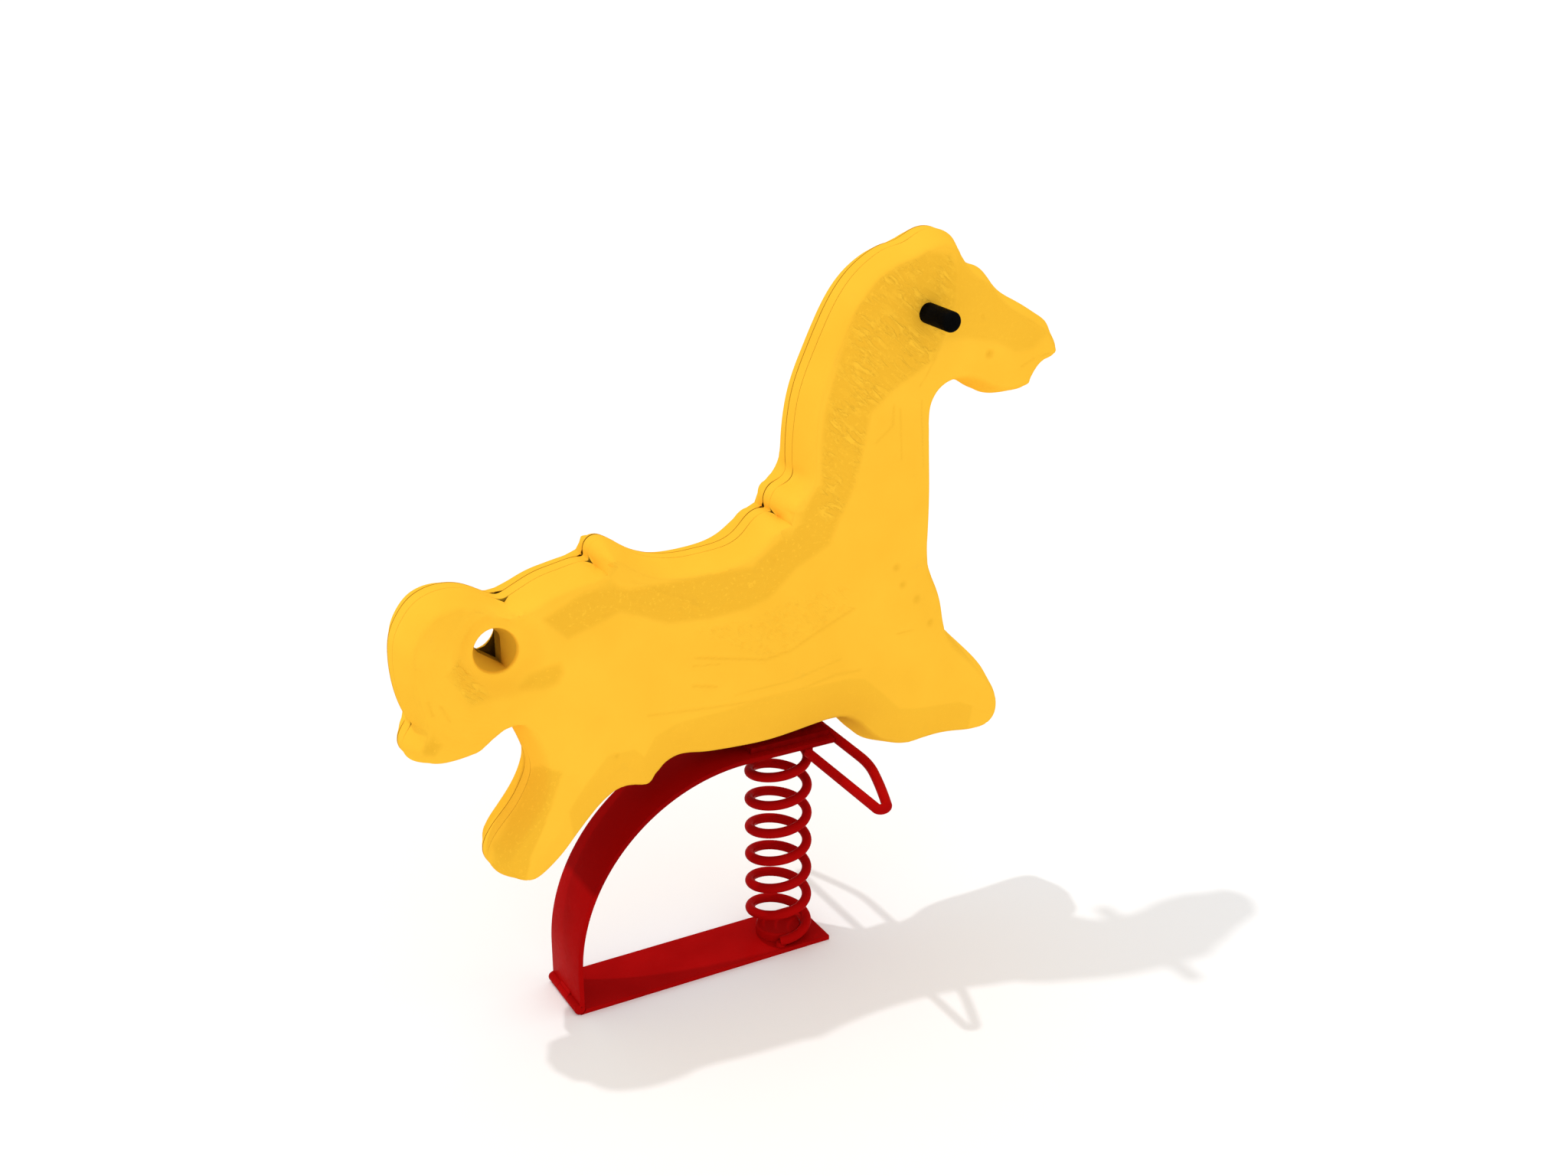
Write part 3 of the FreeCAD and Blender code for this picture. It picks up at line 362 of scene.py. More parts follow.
SWIRL_WIDTH = 7.5             # of one strand of the tail
SWIRL_WAVES = 1.6             # strands' waviness, per radian round the eye
SWIRL_SEED = 9.0
SWIRL_HEIGHT = 1.1
SWIRL_LENGTHS = (236.0, 268.0)        # behind the origin, where the strands set in
SWIRL_CLEARANCE = (8.0, 18.0)         # outside the eye's rim, where they set in

SHADED_FACETS = [              # drafted faces that turn down or back, and how much painted shade each gets
    ([(-182, 294), (-160, 324), (-129, 357), (-95, 356), (-82, 342), (-68, 366), (-40, 377),
      (60, 380), (125, 382), (202, 382), (224, 376), (250, 351), (276, 323), (303, 317), (369, 311),
      (390, 300), (390, 230), (230, 230), (150, 300), (-60, 300), (-130, 250), (-170, 230)], 0.45),
    ([(-203, 353), (-186, 345), (-196, 318), (-212, 280), (-232, 246), (-240, 200), (-270, 200),
      (-264, 252), (-226, 300)], 0.75),
]
GROOVES = [                    # path, width and depth
    ([(-13, 457), (58, 440), (82, 434), (119, 439), (152, 454), (206, 476)], 5.0, 1.3),
    ([(-17, 421), (14, 413)], 5.0, 1.1),
    ([(-16, 447), (20, 442)], 4.0, 0.8),
    ([(-76, 396), (2, 387), (66, 382), (131, 383), (181, 392), (216, 390)], 6.0, 0.8),
    ([(40, 396), (120, 398), (190, 412)], 4.0, 0.6),
    ([(271, 429), (293, 428)], 4.0, 0.9),
    ([(271, 721), (272, 659)], 5.0, 0.7),
    ([(304, 726), (307, 641)], 5.0, 0.7),
    ([(262, 727), (260, 703), (236, 685)], 5.0, 0.8),
    ([(300, 745), (318, 770), (326, 790)], 4.0, 0.8),
    ([(411, 846), (447, 818), (478, 792)], 5.0, 0.8),
    ([(452, 748), (478, 756), (500, 757)], 5.0, 1.0),
    ([(-340, 470), (-334, 452)], 5.0, 0.9),
    ([(-326, 462), (-316, 442)], 5.0, 0.9),
]
RIDGES = [                     # path, width and height
    ([(-90, 566), (-50, 546), (-5, 521)], 7.0, 1.2),
    ([(-92, 546), (-60, 530), (-30, 520)], 5.0, 0.8),
]
DENTS = [                      # centre, radius and depth
    ((401, 772), 9.0, 2.6),
    ((97, 560), 9.0, 1.8),
    ((267, 519), 8.0, 1.4),
    ((277, 494), 8.0, 1.2),
    ((299, 470), 9.0, 1.0),
    ((322, 432), 8.0, 1.2),
    ((-118, 352), 7.0, 1.0),
    ((390, 820), 7.0, 1.0),
]


def flank_half_width(points):
    """Half width of the flat flank: the trunk is widest, and it tapers to head, muzzle and tail."""
    x, z = points[:, 0], points[:, 1]
    to_head = ease(z, *HEAD_HEIGHTS)
    to_muzzle = ease(x, *MUZZLE_LENGTHS) * ease(z, *MUZZLE_HEIGHTS)
    to_tail = ease(-x, *TAIL_LENGTHS)
    return (FLANK + (HEAD_FLANK - FLANK) * to_head + (MUZZLE_FLANK - HEAD_FLANK) * to_muzzle
            + (TAIL_FLANK - FLANK) * to_tail)


def plain_half_width(points, depth):
    """The casting's half width at that depth inside the outline, without relief."""
    flank = flank_half_width(points)
    shoulder = SHOULDER_SHARE * flank
    wall = BAND_HALF + (shoulder - BAND_HALF) * depth / WALL_INSET
    bevel = shoulder + (flank - shoulder) * (depth - WALL_INSET) / (BEVEL_INSET - WALL_INSET)
    top = smooth_min(bevel, flank, BEVEL_ROUND)
    return smooth_min(wall, top, SHOULDER_ROUND)


def tail_swirl(points):
    """Strands of the tail, turning round its eye."""
    offset = points - np.array(EYE_RIM)
    radius = np.linalg.norm(offset, axis=1)
    angle = np.arctan2(offset[:, 1], offset[:, 0])
    strand = [noise.noise((r / SWIRL_WIDTH, a * SWIRL_WAVES, SWIRL_SEED))
              for r, a in zip(radius, angle)]
    on_tail = ease(-points[:, 0], *SWIRL_LENGTHS) * ease(radius - EYE_RIM_RADIUS, *SWIRL_CLEARANCE)
    return np.array(strand) * on_tail * SWIRL_HEIGHT


def relief(points, depth):
    """Height of the cast relief, with how much painted shade each point gets and how much of the
    mane's fine strokes it carries, both from 0 to 1."""
    on_flank = ease(depth, *FLANK_START)
    cover = [patch(points, region.outline, region.edge) for region in REGIONS]
    mane, saddle, face, blanket, hatch, _, _ = cover
    sunk = [region.sink * share for region, share in zip(REGIONS, cover)]
    worn = ease(ripples(points, WEAR), *WEAR_RANGE)
    height = -np.maximum(sunk[0], sunk[1]) - sum(sunk[2:])
    height += STRAND_HEIGHT * mane * ripples(points, STRANDS) * worn
    height += GRAIN_HEIGHT * (saddle + hatch + FACE_GRAIN * face) * ripples(points, GRAIN)
    height -= DIMPLE_DEPTH * blanket * ease(ripples(points, DIMPLES), *DIMPLE_RANGE)
    height += tail_swirl(points)
    height += WAVE_HEIGHT * ripples(points, WAVES) + FINE_WAVE_HEIGHT * ripples(points, FINE_WAVES)
    shade = np.maximum.reduce([region.shade * share for region, share in zip(REGIONS, cover)])
    # Creases and dents get painted shade as well as depth.
    for path, width, deep in GROOVES:
        groove = line(points, path, width)
        height -= deep * groove
        shade = np.maximum(shade, GROOVE_SHADE * groove)
    for path, width, high in RIDGES:
        height += high * line(points, path, width)
    for centre, radius, deep in DENTS:
        dent = spot(points, centre, radius)
        height -= deep * dent
        shade = np.maximum(shade, dent)
    shade *= on_flank
    # Faces that turn down or back get painted shade.
    for outline, dark in SHADED_FACETS:
        shade = np.maximum(shade, dark * patch(points, outline, FACET_EDGE))
    strokes = np.maximum.reduce([mane * (WORN_STROKES + (1 - WORN_STROKES) * worn),
                                 HATCH_STROKES * hatch, BLANKET_STROKES * blanket])
    return height * on_flank, shade, strokes * on_flank


# ---- meshes ----
def make_object(name, vertices, faces, material, smooth_angle=35.0):
    """A smooth-shaded mesh object from points in millimetres."""
    mesh = bpy.data.meshes.new(name)
    mesh.from_pydata([Vector(v) * MM for v in vertices], [], faces)
    mesh.validate()
    mesh.shade_smooth()
    mesh.set_sharp_from_angle(angle=math.radians(smooth_angle))
    mesh.materials.append(material)
    piece = bpy.data.objects.new(name, mesh)
    bpy.context.scene.collection.objects.link(piece)
    return piece


def spread(points, spacing, taken=None):
    """The points that keep at least spacing from each other and from those taken before."""
    cells = {} if taken is None else taken
    kept = []
    for x, z in points:
        cell = (math.floor(x / spacing), math.floor(z / spacing))
        near = (cells.get((cell[0] + i, cell[1] + j), ()) for i in (-1, 0, 1) for j in (-1, 0, 1))
        if all(math.dist((x, z), other) >= spacing for group in near for other in group):
            cells.setdefault(cell, []).append((x, z))
            kept.append((x, z))
    return kept


def side_mesh_points(borders, grid, edge_spacing):
    """Points inside the outline: rings along every border, then an even grid.

    A border is a loop, 1 or -1 for the side its rings lie on, their depths and its Nearness.
    """
    kept = []
    taken = {}
    for loop, way, depths, _ in borders:
        for depth in depths:
            ring = loop + inward_normals(loop) * depth * way
            clear = inside(ring, OUTLINE)
            for _, _, _, distance in borders:
                clear &= distance(ring) > depth * (1 - RING_SLACK_SHARE) - RING_SLACK
            spacing = min(edge_spacing, depth + RING_DEPTHS[0])
            kept += spread(ring[clear], spacing, taken if depth > FREE_RING_DEPTH else None)
    low = OUTLINE.min(axis=0)
    high = OUTLINE.max(axis=0)
    row_height = grid * math.sin(math.radians(60))
    rows = np.arange(low[1], high[1], row_height)
    across = np.arange(low[0], high[0], grid)
    lattice = np.array([(x + grid / 2 * (i % 2), z) for i, z in enumerate(rows) for x in across])
    lattice = lattice[inside(lattice, OUTLINE)]
    for _, _, depths, distance in borders:
        lattice = lattice[distance(lattice) > depths[-1] + grid * GRID_CLEARANCE]
    return np.array(kept + [tuple(p) for p in lattice])


CONSTRAINED_TRIANGLES = 1      # delaunay_2d_cdt keeps the triangles inside its edges
MERGE_DISTANCE = 1e-5


def triangulated(outline, hole, points):
    """Triangles over the side view; the outline's points come first, then the hole's."""
    rim = [Vector(p) for p in outline] + [Vector(p) for p in hole]
    edges = [(i, (i + 1) % len(outline)) for i in range(len(outline))]
    edges += [(len(outline) + i, len(outline) + (i + 1) % len(hole)) for i in range(len(hole))]
    flat, _, triangles, sources, *_ = delaunay_2d_cdt(
        rim + [Vector(p) for p in points], edges, [], CONSTRAINED_TRIANGLES, MERGE_DISTANCE)
    place = {}
    for i, source in enumerate(sources):
        for original in source:
            place[original] = i
    order = [place[i] for i in range(len(rim))]
    on_rim = set(order)
    order += [i for i in range(len(flat)) if i not in on_rim]
    new_index = {old: new for new, old in enumerate(order)}
    hole_set = set(range(len(outline), len(rim)))
    faces = []
    for triangle in triangles:
        face = tuple(new_index[i] for i in triangle)
        if not hole_set.issuperset(face):
            faces.append(face)
    return np.array([flat[i][:] for i in order]), faces


def notch_gap(points):
    """How far the shells stand off the band at those points, which is only beside notches."""
    gap = np.zeros(len(points))
    for corner in [OUTLINE_LOOP[i] for i in corner_indices(OUTLINE_LOOP)]:
        if is_notch(corner):
            distance = np.linalg.norm(points - np.array(corner), axis=1)
            gap = np.maximum(gap, NOTCH_GAP * np.clip(1 - distance / NOTCH_REACH, 0, None))
    return gap


def is_notch(corner):
    """True for the casting's inward corners along its top."""
    x, z = corner
    index = OUTLINE_LOOP.index(corner)
    before = OUTLINE_LOOP[index - 1]
    after = OUTLINE_LOOP[(index + 1) % len(OUTLINE_LOOP)]
    inward = ((x - before[0]) * (after[1] - z) - (z - before[1]) * (after[0] - x)) < 0
    return inward and z > NOTCH_ABOVE and x < NOTCH_BEHIND


def rim_circle():
    """The round rim's points, at the same angles as the teardrop's, seen from its centre."""
    centre = EYE_LOOP.mean(axis=0)
    angles = np.arctan2(EYE_LOOP[:, 1] - centre[1], EYE_LOOP[:, 0] - centre[0])
    ring = np.stack([np.cos(angles), np.sin(angles)], axis=1) * EYE_RIM_RADIUS
    return ring + np.array(EYE_RIM)


def wall_depth(points, depth):
    """Depth inside the outline, where small notches fade out away from the rim."""
    soft = smoothed_loop(OUTLINE, NOTCH_SMOOTHING)
    distance = Nearness(soft, closed=True)(points)
    soft_depth = np.where(inside(points, soft), distance, 0.0)
    share = ease(depth, *NOTCH_FADE) * np.where(soft_depth > depth, 1.0, BUMP_SHARE)
    return depth + (soft_depth - depth) * share


def eye_dish(from_rim, depth):
    """How far the flank sinks towards the tail eye's rim."""
    near = 1 - ease(from_rim, 0, EYE_DISH_REACH)
    return EYE_DISH_DEPTH * near * ease(depth, *EYE_DISH_START)


def eye_rounding(from_rim):
    """How far the rounded edge of the tail eye's rim drops."""
    short = np.clip(EYE_EDGE_ROUND - from_rim, 0, EYE_EDGE_ROUND)
    return EYE_EDGE_ROUND - np.sqrt(EYE_EDGE_ROUND**2 - short**2)


def outer_sheet(circle, to_circle, to_outline):
    """The outer sheet as if it stood at +y: points, half widths, shades, strokes and faces."""
    borders = [(OUTLINE, 1, RING_DEPTHS, to_outline), (circle, -1, EYE_RING_DEPTHS, to_circle)]
    points = side_mesh_points(borders, GRID_SPACING, EDGE_SPACING)
    points = points[~inside(points, circle)]
    outer, faces = triangulated(OUTLINE, circle, points)
    depth = to_outline(outer)
    from_rim = to_circle(outer)
    height, shade, strokes = relief(outer, depth)
    half = plain_half_width(outer, wall_depth(outer, depth)) + height
    half -= eye_dish(from_rim, depth) + eye_rounding(from_rim)
    rise = RIM_RISE * np.minimum(depth, RIM_RISE_REACH)
    half = np.maximum(half, BAND_HALF + notch_gap(outer) + rise)
    half[:len(OUTLINE)] = BAND_HALF + SEAM_GAP + notch_gap(OUTLINE)
    return outer, half, shade, strokes, faces


def inner_sheet(circle, to_circle, to_outline):
    """The inner sheet as if it stood at +y: points, half widths and faces."""
    borders = [(OUTLINE, 1, INNER_RING_DEPTHS, to_outline)]
    points = side_mesh_points(borders, INNER_GRID_SPACING, INNER_EDGE_SPACING)
    points = points[(to_circle(points) > INNER_EYE_CLEARANCE) & ~inside(points, circle)]
    inner, faces = triangulated(OUTLINE, EYE_LOOP, points)
    depth = wall_depth(inner, to_outline(inner))
    from_rim = to_circle(inner)
    half = plain_half_width(inner, np.maximum(depth - WALL, 0))
    half = np.minimum(half, plain_half_width(inner, depth) - WALL)
    half -= eye_dish(from_rim, depth)
    collar = BAND_HALF + COLLAR_SLOPE * np.clip(from_rim - COLLAR_START, 0, None)
    collar[inside(inner, circle)] = BAND_HALF
    half = np.maximum(np.minimum(half, collar), BAND_HALF + notch_gap(inner))
    half[len(OUTLINE):len(OUTLINE) + len(EYE_LOOP)] = BAND_HALF
    return inner, half, faces


def shell_sheets():
    """The right shell's outer and inner sheets, and the round rim of its eye wall."""
    circle = rim_circle()
    to_circle = Nearness(circle, closed=True)
    to_outline = Nearness(OUTLINE, closed=True)
    return (outer_sheet(circle, to_circle, to_outline), inner_sheet(circle, to_circle, to_outline),
            circle)


SHELL_SMOOTH_ANGLE = 50.0      # degrees


def make_shell(name, side, eye_shade, sheets, material):
    """One closed shell: outer sheet, eye wall and inner sheet share their edge points."""
    (outer, half, shade, strokes, outer_faces), (inner, inner_half, inner_faces), circle = sheets
    vertices = [(x, side * y, z) for (x, z), y in zip(outer, half)]
    faces = list(outer_faces)
    shades = list(shade)
    eye_count = len(circle)
    previous = [len(OUTLINE) + i for i in range(eye_count)]
    rim_half = [half[i] for i in previous]
    # The eye wall gets painted shade.
    for step in range(1, EYE_STEPS + 1):
        t = step / EYE_STEPS
        ring = circle * (1 - t) + EYE_LOOP * t
        start = len(vertices)
        for (x, z), top in zip(ring, rim_half):
            vertices.append((x, side * (top * (1 - t) + BAND_HALF * t), z))
            shades.append(eye_shade)
        current = [start + i for i in range(eye_count)]
        for i in range(eye_count):
            j = (i + 1) % eye_count
            faces.append((previous[i], previous[j], current[j], current[i]))
        previous = current
    # The inner sheet gets the darkest painted shade.
    index = {i: i for i in range(len(OUTLINE))}
    index.update({len(OUTLINE) + i: place for i, place in enumerate(previous)})
    for i in range(len(inner)):
        if i not in index:
            index[i] = len(vertices)
            vertices.append((inner[i][0], side * inner_half[i], inner[i][1]))
            shades.append(INSIDE_SHADE)
    faces += [tuple(index[i] for i in reversed(face)) for face in inner_faces]
    piece = make_object(name, vertices, faces, material, SHELL_SMOOTH_ANGLE)
    paint(piece, "painted_shade", shades)
    paint(piece, "strokes", list(strokes) + [0.0] * (len(vertices) - len(strokes)))
    agree_normals(piece)
    return piece


def paint(piece, name, values):
    """Stores one number per vertex for the piece's material."""
    attribute = piece.data.attributes.new(name, "FLOAT", "POINT")
    attribute.data.foreach_set("value", np.array(values, np.float32))


def agree_normals(piece):
    """Turns every face of a closed piece outwards."""
    work = bmesh.new()
    work.from_mesh(piece.data)
    bmesh.ops.recalc_face_normals(work, faces=work.faces)
    work.to_mesh(piece.data)
    work.free()


def ring_faces(count, sides, closed=False):
    """Quads between neighbouring rings of points."""
    faces = []
    for i in range(count if closed else count - 1):
        here = i * sides
        there = (i + 1) % count * sides
        for j in range(sides):
            k = (j + 1) % sides
            faces.append((here + j, here + k, there + k, there + j))
    return faces


def make_centre_band(material):
    """A closed strip along the smoothed outline, with a groove along both of its edges."""
    half = BAND_HALF - BAND_CLEARANCE
    # How far in from the outline, how far from the band's edge, and how much painted shade it gets.
    edge = [(BAND_THICKNESS, 0.0, 1.0), (SEAM_DEPTH, 0.0, SEAM_SHADE), (SEAM_DEPTH, 0.4, SEAM_SHADE),
            (0.8, 0.8, SEAM_SHADE), (0.2, 1.1, 0.2), (0.0, 1.8, 0.0)]
    section = [(inset, -half + y, shade) for inset, y, shade in edge]
    section += [(inset, half - y, shade) for inset, y, shade in reversed(edge)]
    loop = smoothed_loop(OUTLINE, BAND_SMOOTHING)
    inward = inward_normals(smoothed_loop(loop, BAND_NORMAL_SMOOTHING))
    vertices = []
    for point, way in zip(loop, inward):
        for inset, y, _ in section:
            x, z = point + way * inset
            vertices.append((x, y, z))
    faces = ring_faces(len(loop), len(section), closed=True)
    piece = make_object("horse_band", vertices, faces, material)
    # The grooves get near-black painted shade, the band's inner face lighter painted shade.
    paint(piece, "painted_shade", [shade for _, _, shade in section] * len(loop))
    agree_normals(piece)
    return piece


def rounded_rectangle(half_width, half_height, corner, steps=4):
    """Section points (sideways, outwards), anticlockwise."""
    points = []
    for quarter, (sx, sz) in enumerate(((1, 1), (-1, 1), (-1, -1), (1, -1))):
        for step in range(steps + 1):
            angle = math.pi / 2 * (quarter + step / steps)
            points.append((sx * (half_width - corner) + corner * math.cos(angle),
                           sz * (half_height - corner) + corner * math.sin(angle)))
    return points


def swept(name, frames, material, smooth_angle=35.0):
    """A capped tube through rings of points."""
    vertices = [point for ring in frames for point in ring]
    sides = len(frames[0])
    faces = ring_faces(len(frames), sides)
    faces.append(tuple(range(sides)))
    faces.append(tuple(range(len(vertices) - sides, len(vertices))))
    piece = make_object(name, vertices, faces, material, smooth_angle)
    agree_normals(piece)
    return piece


ARM_BEND_RADIUS = 232.0       # inner face of the arm's bend
STRIP_CORNER = 0.9            # the bar's rolled edges
UPRIGHT_STEPS = 12
BEND_STEPS = 64
TOP_STEPS = 14


def make_spring_arm(material):
    """The flat strip: upright, a quarter bend, then level under the belly."""
    low, high = node_box_mm("spring_arm")
    thickness = node_box_mm("base_plate")[1].z
    middle = thickness / 2
    section = rounded_rectangle(high.y, middle, STRIP_CORNER)
    inner_x = low.x + thickness
    centre = Vector((inner_x + ARM_BEND_RADIUS, 0, high.z - thickness - ARM_BEND_RADIUS))
    path = [(Vector((low.x + middle, 0, z)), Vector((-1, 0, 0)))
            for z in np.linspace(low.z, centre.z, UPRIGHT_STEPS)[:-1]]
    for angle in np.linspace(0, math.pi / 2, BEND_STEPS):
        outward = Vector((-math.cos(angle), 0, math.sin(angle)))
        path.append((centre + outward * (ARM_BEND_RADIUS + middle), outward))
    for x in np.linspace(centre.x, high.x, TOP_STEPS)[1:]:
        path.append((Vector((x, 0, high.z - middle)), Vector((0, 0, 1))))
    frames = [[at + Vector((0, a, 0)) + outward * b for a, b in section] for at, outward in path]
    return swept("curved_arm", frames, material)


def circle_of(at, across, up, radius, sides):
    """A ring of points round a centre, in the plane of two unit vectors."""
    angles = [2 * math.pi * k / sides for k in range(sides)]
    return [at + (across * math.cos(a) + up * math.sin(a)) * radius for a in angles]


WIRE_RADIUS = 6.35
WIRE_SIDES = 20
COIL_PITCH = 40.6
COIL_START = -114.0            # degrees round the axis, where the wire leaves the plate
COIL_TURN_STEPS = 56
COIL_CLEARANCE = 0.05
COIL_SMOOTH_ANGLE = 60.0


def make_coil(material):
    """The coil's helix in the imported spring's box, with its lowest point and its top height."""
    low, high = node_box_mm("coil_spring")
    seat_low, seat_high = node_box_mm("lower_spring_seat")
    axis_x = (seat_low.x + seat_high.x) / 2
    radius = high.y - WIRE_RADIUS
    bottom = low.z + WIRE_RADIUS - COIL_CLEARANCE
    top = high.z - WIRE_RADIUS + COIL_CLEARANCE
    turns = (top - bottom) / COIL_PITCH
    count = round(turns * COIL_TURN_STEPS)
    rise = COIL_PITCH / (2 * math.pi)
    frames = []
    for i in range(count + 1):
        angle = math.radians(COIL_START) + 2 * math.pi * turns * i / count
        outward = Vector((math.cos(angle), math.sin(angle), 0))
        along = Vector((-math.sin(angle) * radius, math.cos(angle) * radius, rise)).normalized()
        at = Vector((axis_x, 0, bottom + (top - bottom) * i / count)) + outward * radius
        frames.append(circle_of(at, outward, along.cross(outward), WIRE_RADIUS, WIRE_SIDES))
    piece = swept("spring_coil", frames, material, COIL_SMOOTH_ANGLE)
    return piece, Vector((axis_x, 0, bottom)), top


GRIP_SIDES = 48
GRIP_LENGTH_STEPS = 12
GRIP_END_STEPS = 8
GRIP_END_ROUND = 4.5
GRIP_END_SHARE = 0.3           # of the radius, at the middle of the flat end
GRIP_ROOT = HEAD_FLANK - 3.0   # the grip starts just inside the flank
GRIP_SMOOTH_ANGLE = 40.0


def make_grip(name, node, side, material):
    """A round grip out of the head's side, with a rounded end."""
    low, high = node_box_mm(node)
    axis = (low + high) / 2
    radius = (high.z - low.z) / 2
    end = max(abs(low.y), abs(high.y))
    straight_end = end - GRIP_END_ROUND
    profile = [(radius, y) for y in np.linspace(GRIP_ROOT, straight_end, GRIP_LENGTH_STEPS)]
    for step in range(1, GRIP_END_STEPS + 1):
        angle = math.pi / 2 * step / GRIP_END_STEPS
        profile.append((radius - GRIP_END_ROUND + GRIP_END_ROUND * math.cos(angle),
                        straight_end + GRIP_END_ROUND * math.sin(angle)))
    profile.append((radius * GRIP_END_SHARE, end))
    frames = [circle_of(Vector((axis.x, side * y, axis.z)), Vector((1, 0, 0)), Vector((0, 0, 1)), r,
                        GRIP_SIDES) for r, y in profile]
    return swept(name, frames, material, GRIP_SMOOTH_ANGLE)


# ---- materials ----
MIX_A, MIX_B, MIX_RESULT = 6, 7, 2     # the Mix node's colour sockets
CLOUD_RANGE = (0.3, 0.7)


class Nodes:
    """A short way to build a node material."""

    def __init__(self, name):
        self.material = bpy.data.materials.new(name)
        self.material.use_nodes = True
        self.tree = self.material.node_tree
        self.shader = self.tree.nodes["Principled BSDF"]
        self.place = self.add("ShaderNodeTexCoord").outputs["Object"]

    def add(self, kind, **settings):
        node = self.tree.nodes.new(kind)
        for key, value in settings.items():
            setattr(node, key, value)
        return node

    def link(self, output, target):
        self.tree.links.new(output, target)

    def noise(self, scale, detail=2.0, roughness=0.5, stretch=None):
        node = self.add("ShaderNodeTexNoise")
        node.inputs["Scale"].default_value = scale
        node.inputs["Detail"].default_value = detail
        node.inputs["Roughness"].default_value = roughness
        source = self.place
        if stretch:
            mapping = self.add("ShaderNodeMapping")
            mapping.inputs["Scale"].default_value = stretch
            self.link(self.place, mapping.inputs["Vector"])
            source = mapping.outputs["Vector"]
        self.link(source, node.inputs["Vector"])
        return node.outputs["Fac"]

    def streaks(self, scale, turn, length, detail=3.0, distortion=0.6):
        """Noise drawn out to that many times its width, at an angle in the side view."""
        mapping = self.add("ShaderNodeMapping", vector_type="TEXTURE")
        mapping.inputs["Rotation"].default_value = (0.0, math.radians(turn), 0.0)
        mapping.inputs["Scale"].default_value = (length, 1.0, 1.0)
        self.link(self.place, mapping.inputs["Vector"])
        node = self.add("ShaderNodeTexNoise")
        node.inputs["Scale"].default_value = scale
        node.inputs["Detail"].default_value = detail
        node.inputs["Distortion"].default_value = distortion
        self.link(mapping.outputs["Vector"], node.inputs["Vector"])
        return node.outputs["Fac"]

    def height(self):
        axes = self.add("ShaderNodeSeparateXYZ")
        self.link(self.place, axes.inputs["Vector"])
        return axes.outputs["Z"]

    def times(self, a, b):
        node = self.add("ShaderNodeMath", operation="MULTIPLY")
        self.link(a, node.inputs[0])
        self.link(b, node.inputs[1])
        return node.outputs["Value"]

    def cloudy(self, factor, low, high, of=CLOUD_RANGE):
        """A colour that drifts between two, while the noise goes through the range given."""
        node = self.add("ShaderNodeValToRGB")
        for element, position, colour in zip(node.color_ramp.elements, of, (low, high)):
            element.position = position
            element.color = (*colour, 1.0)
        self.link(factor, node.inputs["Fac"])
        return node.outputs["Color"]

    def mix(self, factor, a, b):
        """Colour a, turning into b where the factor is 1."""
        node = self.add("ShaderNodeMix", data_type="RGBA")
        self.link(factor, node.inputs["Factor"])
        self.link(a, node.inputs[MIX_A])
        node.inputs[MIX_B].default_value = (*b, 1.0)
        return node.outputs[MIX_RESULT]

    def span(self, factor, low, high, of=(0.0, 1.0)):
        """From low to high while the factor goes through the range given."""
        node = self.add("ShaderNodeMapRange")
        node.inputs["From Min"].default_value = of[0]
        node.inputs["From Max"].default_value = of[1]
        node.inputs["To Min"].default_value = low
        node.inputs["To Max"].default_value = high
        self.link(factor, node.inputs["Value"])
        return node.outputs["Result"]

    def bump(self, factor, distance, strength=1.0, after=None):
        node = self.add("ShaderNodeBump")
        node.inputs["Distance"].default_value = distance
        node.inputs["Strength"].default_value = strength
        self.link(factor, node.inputs["Height"])
        if after:
            self.link(after, node.inputs["Normal"])
        return node.outputs["Normal"]

    def finish(self, **values):
        """Sets the shader's inputs; an underscore stands for a space in their names."""
        for key, value in values.items():
            socket = self.shader.inputs[key.replace("_", " ")]
            if hasattr(value, "is_output"):
                self.link(value, socket)
            else:
                socket.default_value = value
        return self.material


YELLOW_PAINT = ((0.95, 0.505, 0.034), (1.0, 0.55, 0.041))
PAINTED_SHADE_YELLOW = (0.86, 0.455, 0.028)
WORN_YELLOW = (0.98, 0.54, 0.038)
PAINTED_EYE_SHADE_YELLOW = (0.74, 0.40, 0.026)
PAINTED_DEEP_SHADE = (0.05, 0.02, 0.001)
GRIME = (0.55, 0.30, 0.05)
SHADED_EYE_RING_YELLOW = ((0.36, 0.18, 0.012), (0.46, 0.24, 0.016))
RED_PAINT = ((0.33, 0.002, 0.002), (0.40, 0.003, 0.003))
CHIPPED_RED = (0.20, 0.010, 0.010)
PAINTED_REFLECTION_RED = (0.25, 0.0015, 0.0015)
FOOT_RED = ((0.16, 0.001, 0.001), (0.24, 0.002, 0.002))
BLACK = ((0.001, 0.001, 0.001), (0.003, 0.003, 0.003))
ZINC_GREY = ((0.42, 0.43, 0.44), (0.60, 0.61, 0.62))
FLOOR_WHITE = ((0.95, 0.95, 0.95), (0.96, 0.96, 0.96))

ARM_SHADE_FROM = 0.160         # m; above this the arm gets a painted reflection of the body's dark underside
ARM_SHADE_BLEND = 0.008
PAINT_EDGE_RADIUS = 0.0008


